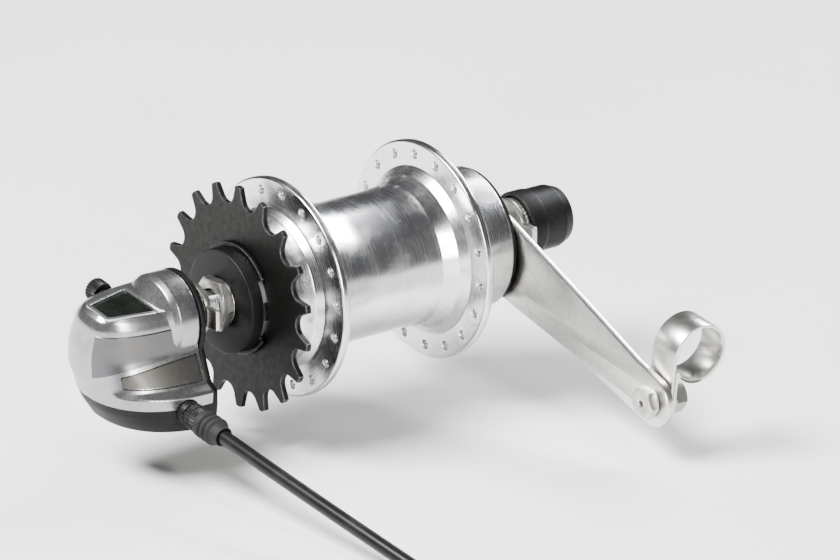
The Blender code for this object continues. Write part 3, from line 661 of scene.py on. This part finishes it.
def make_no_turn_washer(node, look):
    """A keyed washer: its bore has the axle's flats, and its tongue goes in the frame's slot."""
    bore, flat = AXLE_R + 0.3, AXLE_FLAT + 0.3
    corner = math.acos(flat / bore)
    hole = arc(bore, corner - math.pi / 2, math.pi / 2 - corner, 20)
    hole += [(-x, -y) for x, y in hole]
    outer = arc(9.6, math.radians(22), math.radians(338), 60) + [(14.5, -3.6), (14.5, 3.6)]
    low, high = along(node)
    washer = slab([filleted(outer, 0.6), hole], low, high, 0.25)
    piece(node + "_fine", washer, look, "axle_unit", [node])


# ---------------------------------------------------------------- hub shell


def make_shell():
    flange_l, flange_r = mount_y("left_flange_face"), mount_y("right_flange_face")
    right, left = along("hub_shell")
    rim = radius_of("hub_shell")
    outer = [(24.4, left), (24.4, flange_l + 2.5), (26.6, flange_l), (rim, flange_l), (rim, flange_l - 3)]
    outer += [(29, flange_l - 3.1), (26.4, flange_l - 5.9), (24.5, 20), (24, 12), (24, -8), (24.8, -14)]
    outer += [(26.4, -20), (27.4, flange_r + 5.9), (30, flange_r + 3.1), (rim, flange_r + 3)]
    outer += [(rim, flange_r), (27.6, flange_r), (25.4, flange_r - 2.5), (25.4, right)]
    inner = [(23.6, right), (23.6, -16.8), (21.1, -16.4), (21.1, 43.6), (22.2, 43.8), (22.2, left)]
    shell = turned(outer + inner, FINE, 0.9)
    holes = []
    for face, way, offset in ((flange_l, 1, 0.25), (flange_r, -1, 0.75)):
        low, high = sorted((face + way, face - 4 * way))
        for i in range(18):
            angle = 2 * math.pi * (i + offset) / 18
            hole = turned(
                [(0, high), (2.2, high), (1.45, high - 1.5), (1.45, low + 1.5), (2.2, low), (0, low)],
                20, 0, core=True,
            )
            holes.append(moved(hole, shifted(*polar(33.5, angle))))
    shell = combined(shell, "DIFFERENCE", joined(holes))
    look = turned_metal("shell_alloy", (0.83, 0.83, 0.84), 0.20, stain=(0.30, 0.27, 0.22), soil=0.30)
    piece("shell", shell, look, "shell", ["hub_shell"])
    dust = [(23.6, 50.5), (23.6, 51.6), (22.6, 52.0), (12.2, 52.0), (11.4, 51.6), (9.2, 51.6)]
    dust = turned(dust + [(9.2, 50.5)], FINE, 0.3)
    piece("left_dust_cap_fine", dust, moulded("dust_cap_plastic"), "shell", ["left_dust_cap"])


def joined(meshes):
    """Several closed meshes as one."""
    bm = bmesh.new()
    for mesh in meshes:
        bm.from_mesh(mesh)
    made = bpy.data.meshes.new("joined")
    bm.to_mesh(made)
    bm.free()
    return made


def make_bearings():
    balls = turned_metal("ball_steel", (0.66, 0.66, 0.67), 0.10, soil=0.08)
    cage = turned_metal("ball_cage_steel", (0.52, 0.50, 0.46), 0.34)
    sets = (
        ("left_ball_ring", "left_balls", 9, 15.8, 3.1, 47.2),
        ("right_ball_ring", "right_balls", 12, 19.3, 1.95, -37.6),
        ("driver_ball_ring", "driver_balls", 9, 11.2, 1.95, -47.6),
    )
    for node, body, count, circle_r, ball_r, y in sets:
        spots = [(*polar(circle_r, 2 * math.pi * i / count), y) for i in range(count)]
        piece(node + "_balls", spheres(spots, ball_r), balls, body, [node])
        band = turned(ring(circle_r + 0.7, circle_r - 0.7, y - 1, y + 1), FINE, 0.2)
        band = combined(band, "DIFFERENCE", spheres(spots, ball_r * 1.04))
        piece(node + "_cage", band, cage, body)


# ---------------------------------------------------------------- sprocket and driver


def sprocket_outline(teeth=18, pitch=12.7, seat=4.0):
    """Chain teeth: a round seat for each roller, and flanks that lean to a narrow crest."""
    step = 2 * math.pi / teeth
    pitch_r = pitch / 2 / math.sin(step / 2)
    loop = []
    for i in range(teeth):
        centre = polar(pitch_r, i * step)
        facing = i * step + math.pi
        loop += arc(seat, facing + math.radians(62), facing - math.radians(62), 11, centre)
        crest = (i + 0.5) * step
        for height, turn in ((2.5, -0.035), (2.7, 0), (2.5, 0.035)):
            loop.append(polar(pitch_r + height, crest + turn))
    return loop


def make_sprocket():
    dark = dark_steel("sprocket_steel")
    low, high = along("sprocket")
    seat, lug_r, lug_half = 17.4, 16.1, 2.8
    lug = math.asin(lug_half / seat)
    bore = []
    for i in range(3):
        middle = math.radians(120 * i)
        for side in (-1, 1):
            bore.append(polar(lug_r, middle + side * math.asin(lug_half / lug_r)))
        bore += arc(seat, middle + lug, middle + math.radians(120) - lug, 30)
    sprocket = slab([sprocket_outline(), bore], low, high, 0.4)
    piece("sprocket_fine", sprocket, dark, "driver", ["sprocket"], corner=15)
    low, high = along("sprocket_dust_plate")
    dish = [(25.2, low + 0.5), (24.6, low), (seat, low), (seat, high), (23.8, high), (25.2, high - 0.4)]
    dish = turned(dish, FINE, 0.25)
    piece("dust_plate", dish, moulded("dust_plate_plastic"), "driver", ["sprocket_dust_plate"])
    low, high = along("sprocket_circlip")
    clip = ribbon(arc(18.4, math.radians(35), math.radians(325), 90), 2.0)
    piece("circlip", slab([clip], low, high, 0.45), dark, "driver", ["sprocket_circlip"])


def make_driver():
    right, left = along("driver")
    outside = [(13.6, left), (13.6, -28), (16.2, -31), (17.0, -33), (17.0, -42), (18.6, -42.3)]
    outside += [(18.6, -43.6), (17.1, -43.8), (17.1, right + 0.4), (16.4, right)]
    inside = [(13.4, right), (13.4, -44), (9.6, -42.6), (9.6, -22), (11.2, -21), (11.2, left)]
    driver = turned(outside + inside, FINE, 0.3)
    cuts = []
    for i in range(2):
        slot = block((-16, -2.9, -17.2), (16, 2.9, -6))
        cuts.append(moved(slot, Matrix.Rotation(math.radians(180 / 44 + 90 * i), 4, "Z")))
    for i in range(3):
        groove = block((15.7, -3.2, -55), (20, 3.2, -44.4))
        cuts.append(moved(groove, Matrix.Rotation(math.radians(120 * i), 4, "Z")))
    driver = combined(driver, "DIFFERENCE", *cuts)
    piece("driver_fine", driver, turned_metal("driver_steel", STEEL, 0.30), "driver", ["driver"])


# ---------------------------------------------------------------- brake arm

ARM_REACH = 100.0
ARM_DROP = 17.0
STAY_R = 9.6
STAY_Y = 66.6


def make_brake_arm():
    """The pressed arm with a stiffening bead, and the strap that ties it to the left stay."""
    zinc = plated("arm_plate", (0.70, 0.69, 0.66), 0.30)
    low, high = along("brake_arm")
    eye = (ARM_REACH, ARM_DROP)
    outline = arc(15.5, math.radians(75), math.radians(285), 48)
    outline += [(14, -13.0), (28, -9.5), (60, -1.5), (90, 6.4)]
    outline += arc(9.0, math.radians(-70), math.radians(95), 28, eye) + [(60, 19.5), (28, 17), (14, 15.8)]
    arm = slab([filleted(outline, 6), circle(8.9), circle(3.3, 32, eye)], low, high, 0.5)
    bead = ribbon([(24, 3.2), (50, 7.6), (84, 14.2)], 5.2)
    bead = slab([filleted(bead, 2.5, steps=8)], high - 1.0, high + 0.9, 0.8)
    arm = combined(arm, "UNION", bead)
    piece("brake_arm_fine", arm, zinc, "axle_unit", ["brake_arm"], axes=ARM)

    middle = STAY_R + 0.6
    near = STAY_Y - middle
    far = STAY_Y - middle * math.cos(math.radians(30))
    low = -ARM_DROP - 5
    path = [(near, low), (near, -9)] + arc(middle, math.pi, math.radians(-150), 64, (STAY_Y, 0))
    path += [(far, -9), (far, low)]
    strip = slab([ribbon(filleted(path, 3, closed=False), 1.2)], -6, 6, 0.35)
    strip.transform(shifted(x=ARM_REACH) @ AGAINST_X @ Matrix.Rotation(math.pi, 4, "X"))
    hole = moved(peg(3.3, 50, 64), shifted(*eye))
    strip = combined(strip, "DIFFERENCE", hole)
    piece("stay_strap", strip, zinc, "axle_unit", ["arm_clip"], axes=ARM)

    head = hex_nut(10, 1.2, 48, 52, 0.6)
    shank = [(0, 65.5), (2.4, 65.5)] + threaded(3.0, 56, 65) + [(3.0, 55), (3.0, 51), (0, 51)]
    bolt = combined(head, "UNION", turned(shank, 48, 0.06, core=True))
    piece("strap_bolt", moved(bolt, shifted(*eye)), zinc, "axle_unit", ["clip_bolt"], axes=ARM)
    nut = moved(hex_nut(10, 3.3, 59, 64, 0.6), shifted(*eye))
    piece("strap_nut", nut, zinc, "axle_unit", ["clip_nut"], axes=ARM)


# ---------------------------------------------------------------- shift box

BACK = -74.0
WALL = 2.0
SEAM = -22.0
LOW = -32.6
SWEEP_TOP = -6.0  # below this height the box sweeps up towards its rear
SWEEP_LIFT = 11.0
SWEEP_REACH = 17.0
WINDOW_TOP = 8.0
COVER_SCREW = (17.4, -78.5)
CLAMP = (0, -89.5, 2.0)
CABLE = (-84.0, -23.0)
ROUND = 72  # points round a level's half oval
SOFT_REACH = 0.22  # how far a softened crease reaches towards the next level


def swept(x, z):
    """A height in the box, whose lower half sweeps up towards its rear."""
    lift = SWEEP_LIFT * math.tanh((min(x, 0) / SWEEP_REACH) ** 2)
    share = (SWEEP_TOP - z) / (SWEEP_TOP - SEAM)
    return z + lift * min(max(share, 0), 1)


def level(z, front, rear, nose, power, back, inset=0.0):
    """One level of the box: a half oval round its nose, then straight along its back."""
    loop = []
    for i in range(ROUND + 1):
        angle = math.pi * i / ROUND
        wide, far = math.cos(angle), math.sin(angle)
        half = (front if wide > 0 else rear) - inset
        x = math.copysign(half * abs(wide) ** (2 / power), wide)
        loop.append((x, back + (nose + inset - back) * abs(far) ** (2 / power), swept(x, z)))
    return loop + [(x, back, height) for x, y, height in loop[-2:0:-1]]


def blended(levels, steps=3):
    """More levels between the given ones where the side bends, so that its creases are soft."""
    result = [levels[0]]
    for before, here, after in zip(levels, levels[1:], levels[2:]):
        start = [h + (b - h) * SOFT_REACH for h, b in zip(here, before)]
        end = [h + (a - h) * SOFT_REACH for h, a in zip(here, after)]
        for i in range(steps + 1):
            t = i / steps
            result.append(tuple(
                s * (1 - t) ** 2 + h * 2 * t * (1 - t) + e * t * t
                for s, h, e in zip(start, here, end)
            ))
    return result + [levels[-1]]


def box_body(levels, back, inset=0.0):
    return lofted([level(*numbers, back, inset) for numbers in blended(levels)])


def side_point(levels, angle, z, depth):
    """A point on the box's side at that angle and height, pushed out by a depth."""
    for low, high in zip(levels, levels[1:]):
        if low[0] <= z <= high[0]:
            t = (z - low[0]) / (high[0] - low[0])
            numbers = [a + (b - a) * t for a, b in zip(low, high)]
            break
    _, front, rear, nose, power = numbers
    wide, far = math.cos(angle), math.sin(angle)
    half = (front if wide > 0 else rear) + depth
    x = math.copysign(half * abs(wide) ** (2 / power), wide)
    return x, BACK + (nose - depth - BACK) * abs(far) ** (2 / power), z


def side_patch(levels, first, last, top, bottom, outer, inner, columns=40, rows=8):
    """A curved plate that follows the box's side between two angles. top and bottom give its
    heights from a share along it, and outer and inner its faces' depths from the side."""
    bm = bmesh.new()
    faces = []
    for depth in (outer, inner):
        grid = []
        for i in range(columns + 1):
            t = i / columns
            high, low = top(t), bottom(t)
            angle = first + (last - first) * t
            grid.append([
                bm.verts.new(side_point(levels, angle, low + (high - low) * j / rows, depth))
                for j in range(rows + 1)
            ])
        faces.append(grid)
    for grid in faces:
        for a, b in zip(grid, grid[1:]):
            for j in range(rows):
                bm.faces.new((a[j], a[j + 1], b[j + 1], b[j]))
    out, inn = faces
    rims = [([row[j] for row in out], [row[j] for row in inn]) for j in (0, -1)]
    rims += [(out[0], inn[0]), (out[-1], inn[-1])]
    for rim, under in rims:
        for i in range(len(rim) - 1):
            bm.faces.new((rim[i], rim[i + 1], under[i + 1], under[i]))
    return mesh_from(bm)


def make_box_base():
    side = [(-31, 24.2, 15, -103, 2.3), (-28.3, 25, 17.2, -105, 2.3), (-25, 25, 19.8, -107.4, 2.35)]
    side.append((SEAM, 25, 21.8, -108.9, 2.35))
    floor = [(LOW, 20.6, 10.2, -98.3, 2.3), (LOW + 0.2, 21.8, 11.4, -99.4, 2.3)]
    base = box_body([*floor, *side], BACK + WALL)
    inside = [(-30.6, 23.6, 14.6, -102.6, 2.3), *side[1:], (SEAM + 1, *side[-1][1:])]
    base = combined(base, "DIFFERENCE", box_body(inside, BACK, 2.0))
    rim = [(x, swept(x, SEAM) - 1.5) for x in (-21.6, -19, -16, -12, -8, 0, 25)]
    rim += [(25, SEAM + 0.3), (24.6, -17.5), (20.6, -16), (15.0, -6)]
    rim += arc(15.5, math.radians(-12), math.radians(125), 48)
    rim += [(-13, 8), (-18.6, 3.5), (-22.4, SWEEP_TOP), (-22.8, swept(-22.8, -17.5))]
    wall = slab([filleted(rim, 3), circle(10)], -BACK - WALL, -BACK, 0.3)
    wall.transform(Matrix.Rotation(math.pi / 2, 4, "X"))
    socket = moved(turned(ring(4.2, 2.0, 20.5, 27), SMALL, 0.4), shifted(0, *CABLE) @ ALONG_X)
    base = combined(base, "UNION", wall, socket)
    bore = moved(peg(2.0, 15, 32), shifted(0, *CABLE) @ ALONG_X)
    hole = moved(peg(1.5, LOW - 2, -28), shifted(*COVER_SCREW))
    sink = moved(peg(3.0, LOW - 2, LOW + 0.7), shifted(*COVER_SCREW))
    base = combined(base, "DIFFERENCE", bore, hole, sink)
    look = moulded("base_plastic")
    softened(piece("box_base", base, look, "axle_unit", ["shift_box_base"], axes=BOX), 0.2)


def window_outline(grow):
    """The window tapers to the nose."""
    corners = [(8.0, -88.6), (-9.0, -88.6), (-4.9, -105.4), (5.0, -105.4)]
    ways = [(1, 1), (-1, 1), (-1, -1), (1, -1)]
    outline = [(x + grow * a, y + grow * b) for (x, y), (a, b) in zip(corners, ways)]
    return filleted(outline, 0.7 + grow, steps=5)


COVER_SIDE = [(-16, 21, 23.6, -110.9, 2.5), (-6, 14.8, 22.8, -111.2, 2.6), (3.6, 12.3, 19, -109.8, 2.8)]
PANEL_SPAN = (math.radians(1), math.radians(78))
LABEL_SPAN = (math.radians(1), math.radians(50))


def panel_top(t):
    return 2.6 - 0.4 * t


def panel_bottom(t):
    return -6.2 - 6.6 * t ** 1.5


def label_top(t):
    return -7.4 - 3.6 * t ** 1.3


def label_bottom(t):
    return -15.4 + 0.5 * t ** 2


def make_box_cover():
    rim = [(SEAM + 0.3, 25.2, 22, -109.1, 2.35), (-17.9, 25, 23.1, -110.1, 2.4)]
    levels = [*rim, (-17.2, 24, 23.2, -110.3, 2.4), *COVER_SIDE]
    levels += [(6.6, 10.6, 15.4, -108.6, 3), (WINDOW_TOP, 9.4, 13.2, -107.2, 3)]
    back = BACK - 0.3
    cover = box_body(levels, back)
    dome = [(0, back), (15.5, back), (15.5, -82), (14.4, -84), (7.6, -87.8), (0, -87.8)]
    lay = Matrix.Rotation(-math.pi / 2, 4, "X")
    cover = combined(cover, "UNION", moved(turned(dome, 96, 1.0, core=True), lay))
    cavity = [(SEAM - 1, *rim[0][1:]), *rim, *COVER_SIDE, (WINDOW_TOP - 1.8, 10.6, 14, -107.8, 3)]
    inner = [(0, BACK + 1), (13.7, BACK + 1), (13.7, -81.6), (12.6, -83.2), (6.2, -87), (0, -87)]
    window = slab([window_outline(0.3)], WINDOW_TOP - 3, WINDOW_TOP + 2, 0.01)
    notch = moved(peg(4.5, 15, 32, 48), shifted(0, *CABLE) @ ALONG_X)
    clamp = moved(peg(2.1, 8, 30), shifted(*CLAMP) @ AGAINST_X)
    seat = moved(peg(4.6, 19.3, 30, 48), shifted(*CLAMP) @ AGAINST_X)
    inner = moved(turned(inner, 96, 0.3, core=True), lay)
    cover = combined(cover, "DIFFERENCE", box_body(cavity, BACK + 1, 2.2), inner)
    boss = [(0, -14.7), (2.4, -14.7), (2.4, -20), (1.4, -20), (1.4, -15.8), (0, -15.8)]
    cover = combined(cover, "UNION", moved(turned(boss, 32, 0, core=True), shifted(*COVER_SCREW)))
    recess = side_patch(COVER_SIDE, *LABEL_SPAN, label_top, label_bottom, 1.5, -0.8)
    cover = combined(cover, "DIFFERENCE", window, notch, clamp, seat, recess)
    look = lacquer("cover_lacquer")
    softened(piece("box_cover", cover, look, "axle_unit", ["shift_box_cover"], axes=BOX, corner=32), 0.25)

    # The panel's dark grey lacquer is painted shade. The plateau below the window faces forward and is
    # darker only by how the light falls on it, not by its own colour.
    panel = side_patch(COVER_SIDE, *PANEL_SPAN, panel_top, panel_bottom, 0.5, -1.0)
    panel_shade_lacquer = lacquer("panel_painted_shade", (0.16, 0.162, 0.17), 0.30)
    softened(piece("cover_panel", panel, panel_shade_lacquer, "axle_unit", axes=BOX), 0.25)
    gap = 0.35  # between the label plate and its recess
    plate = side_patch(
        COVER_SIDE, *LABEL_SPAN, lambda t: label_top(t) - gap, lambda t: label_bottom(t) + gap,
        -0.35, -1.2,
    )
    # The label plate's dark grey is partly the label's own grey-beige tone and partly painted shade. The
    # reflection of dark surroundings on its right part is painted into its colour.
    grey = lacquer("label_tone_and_painted_shade", (0.125, 0.122, 0.115), 0.40)
    softened(piece("label_plate", plate, grey, "axle_unit", axes=BOX), 0.12)

    edges = [window_outline(1.5), window_outline(0.15)]
    frame_ring = slab(edges, WINDOW_TOP - 0.4, WINDOW_TOP + 0.6, 0.3)
    # The frame's light lacquer is a painted highlight. The bevel round the window is lit bright, but it
    # is not lighter in colour than the rest of the silver cover.
    bright = lacquer("frame_painted_highlight", (0.68, 0.69, 0.70), 0.22)
    piece("window_frame", frame_ring, bright, "axle_unit", axes=BOX)
    lens = slab([window_outline(0.0)], WINDOW_TOP - 1.6, WINDOW_TOP + 0.2, 0.4)
    piece("lens", lens, dark_lens("lens_plastic"), "axle_unit", ["window_lens"], axes=BOX)


def make_box_fasteners():
    black = moulded("knob_plastic", roughness=0.40)
    knob = slab([knurl(22, 3.75, 4.1)], 19.6, 24.6, 0.45)
    shank = [(0, 20.2), (1.8, 20.2)] + threaded(1.8, 6.6, 19.4, 0.8, 0.25) + [(1.2, 5.8), (0, 5.8)]
    knob = combined(knob, "UNION", turned(shank, 40, 0.05, core=True))
    at = BOX @ shifted(*CLAMP) @ AGAINST_X
    piece("clamp_knob", knob, black, "clamp", ["clamp_screw"], axes=at)
    steel = plated("screw_plate", ZINC, 0.36)
    head = [(0, LOW + 0.4), (2.7, LOW + 0.4), (2.7, LOW - 0.4), (2.0, LOW - 1), (0, LOW - 1)]
    head = turned(head, 48, 0.2, core=True)
    cross = [block((-a, -b, LOW - 2), (a, b, LOW - 0.3)) for a, b in ((1.6, 0.32), (0.32, 1.6))]
    head = combined(head, "DIFFERENCE", *cross)
    shank = [(0, -16.3), (0.8, -16.3)] + threaded(1.1, LOW + 2, -17, 0.9, 0.22)
    shank += [(1.1, LOW + 1.2), (1.1, LOW + 0.2), (0, LOW + 0.2)]
    screw = combined(head, "UNION", turned(shank, 32, 0.05, core=True))
    piece("box_screw", screw, steel, "axle_unit", ["cover_screw"], axes=BOX @ shifted(*COVER_SCREW))


# ---------------------------------------------------------------- cable

CASING_D = 5.0
CASING_RUN = 122.0
CASING_POINTS = 17


def casing_route():
    """The middle line of the casing, as in the CAD: out of the boot, then down along the stay."""
    y, z = CABLE
    route = []
    for i in range(CASING_POINTS):
        t = i / (CASING_POINTS - 1)
        route.append(Vector((33.9 + CASING_RUN * t, y + 7 * t * t, z - 4 * t * t)))
    return route


def make_cable():
    at = BOX @ shifted(0, *CABLE) @ ALONG_X
    black = moulded("adjuster_plastic", roughness=0.42)
    barrel = slab([knurl(24, 4.15, 4.5), circle(1.3, 24)], 27.3, 33.3, 0.5)
    groove = turned(ring(6, 4.0, 30.0, 30.6), SMALL, 0)
    barrel = combined(barrel, "DIFFERENCE", groove)
    piece("adjuster_barrel", barrel, black, "adjuster", ["cable_adjuster"], axes=at)
    boot = [(3.4, 45), (3.6, 42.6), (3.9, 41.6), (4.9, 40.9), (4.9, 40.3), (4.0, 39.6), (4.0, 39.1)]
    boot += [(4.9, 38.4), (4.9, 37.8), (4.0, 37.1), (4.0, 36.6), (4.9, 35.9), (4.9, 33.6)]
    boot = turned(boot + [(2.8, 33.6), (2.8, 45)], 48, 0.35)
    boot = piece("boot", boot, rubber("boot_rubber"), "axle_unit", ["cable_boot"], axes=at)
    route = casing_route()
    run = (route[-1] - route[-2]).normalized()
    aim = run.to_track_quat("Z", "Y").to_matrix().to_4x4()
    tip = [(2.1, 5.5), (2.4, 5.2), (3.2, 1.4), (3.2, -2), (3.0, -2.4), (3.0, -3.2), (3.2, -3.6)]
    tip += [(3.3, -8), (2.8, -8), (2.8, 0.3), (0.9, 0.3), (0.9, 5.5)]
    ferrule = turned(tip, 48, 0.2)
    ends = BOX @ Matrix.Translation(route[-1]) @ aim
    plate = plated("ferrule_plate", ZINC, 0.28)
    ferrule = piece("ferrule", ferrule, plate, "axle_unit", ["casing_ferrule"], axes=ends)

    curve = bpy.data.curves.new("casing", "CURVE")
    curve.dimensions = "3D"
    curve.bevel_depth = CASING_D / 2 * MM
    curve.bevel_resolution = 8
    curve.use_fill_caps = True
    spline = curve.splines.new("POLY")
    spots = [BOX @ spot * MM for spot in route]
    spline.points.add(len(spots) - 1)
    for point, spot in zip(spline.points, spots):
        point.co = (*spot, 1)
    spline.use_smooth = True
    casing = bpy.data.objects.new("casing", curve)
    bpy.context.scene.collection.objects.link(casing)
    curve.materials.append(moulded("casing_plastic", (0.012, 0.012, 0.013), 0.34, 1500))
    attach(casing, "axle_unit")
    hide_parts("cable_casing")


# ---------------------------------------------------------------- what stays from the CAD


def finish_inner_pieces():
    """The CAD's own meshes inside the hub keep their shapes and get finished materials."""
    steel = turned_metal("inner_steel", STEEL, 0.28, stain=(0.16, 0.12, 0.06), soil=0.35)
    gear = turned_metal("gear_steel", (0.60, 0.59, 0.58), 0.22, stain=(0.16, 0.12, 0.06), soil=0.30)
    dark = dark_steel("pawl_steel")
    zinc = plated("crank_plate", ZINC, 0.36)
    brass = turned_metal("mantle_brass", (0.76, 0.58, 0.27), 0.30, stain=(0.20, 0.13, 0.06), soil=0.4)
    looks = {
        "planet_gear": gear, "ring_gear": gear, "pawl": dark, "axle_key": dark, "shift_crank": zinc,
        "brake_mantle": brass, "cable_anchor": brass,
    }
    for name, obj in frame["nodes"].items():
        if obj.hide_render:
            continue
        look = next((found for part, found in looks.items() if part in name), steel)
        for slot in obj.material_slots:
            slot.material = look


# ---------------------------------------------------------------- stage


def area_light(name, spot, aim, size, power, colour=(1, 1, 1)):
    data = bpy.data.lights.new(name, "AREA")
    data.shape = "RECTANGLE"
    data.size, data.size_y = size
    data.energy = power
    data.color = colour
    light = bpy.data.objects.new(name, data)
    light.location = spot
    light.rotation_euler = (Vector(aim) - Vector(spot)).to_track_quat("-Z", "Y").to_euler()
    bpy.context.scene.collection.objects.link(light)


def make_stage():
    low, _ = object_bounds()
    bm = bmesh.new()
    bmesh.ops.create_grid(bm, x_segments=8, y_segments=8, size=6)
    ground = bpy.data.meshes.new("floor")
    bm.to_mesh(ground)
    bm.free()
    ground.materials.append(floor_paint("floor_paint"))
    floor = bpy.data.objects.new("floor", ground)
    floor.location = (0, 0, low[2] - 0.0006)
    bpy.context.scene.collection.objects.link(floor)

    world = bpy.data.worlds.new("studio")
    world.use_nodes = True
    world.node_tree.nodes["Background"].inputs["Color"].default_value = (0.90, 0.92, 0.95, 1)
    world.node_tree.nodes["Background"].inputs["Strength"].default_value = 0.10
    bpy.context.scene.world = world
    bpy.context.scene.view_settings.look = "AgX - Medium High Contrast"
    aim = (0.03, -0.03, 0)
    area_light("key", (-0.1, -0.9, 1.2), aim, (0.9, 0.5), 62)
    area_light("fill", (1.5, -0.1, 0.6), aim, (0.25, 1.0), 18, (1.0, 0.98, 0.95))
    area_light("back", (-0.2, 1.2, 0.9), aim, (1.0, 0.3), 22, (0.95, 0.97, 1.0))


def make_camera():
    """Looks at the hub from its right and front, a little above it, with a long lens."""
    azimuth, elevation, distance = math.radians(53), math.radians(20.5), 5.0
    back = Vector((
        math.sin(azimuth) * math.cos(elevation),
        -math.cos(azimuth) * math.cos(elevation),
        math.sin(elevation),
    ))
    target = Vector((0.030, 0.006, 0.003))
    data = bpy.data.cameras.new("camera")
    data.sensor_width = 36
    data.lens = 640
    data.clip_end = 50
    camera = bpy.data.objects.new("camera", data)
    camera.location = target + back * distance
    camera.rotation_euler = back.to_track_quat("Z", "Y").to_euler()
    bpy.context.scene.collection.objects.link(camera)
    bpy.context.scene.camera = camera


# ---------------------------------------------------------------- the object

make_camera()
make_cable()
make_axle()
make_end_hardware()
make_shell()
make_bearings()
make_sprocket()
make_driver()
make_brake_arm()
make_box_base()
make_box_cover()
make_box_fasteners()
finish_inner_pieces()
make_stage()
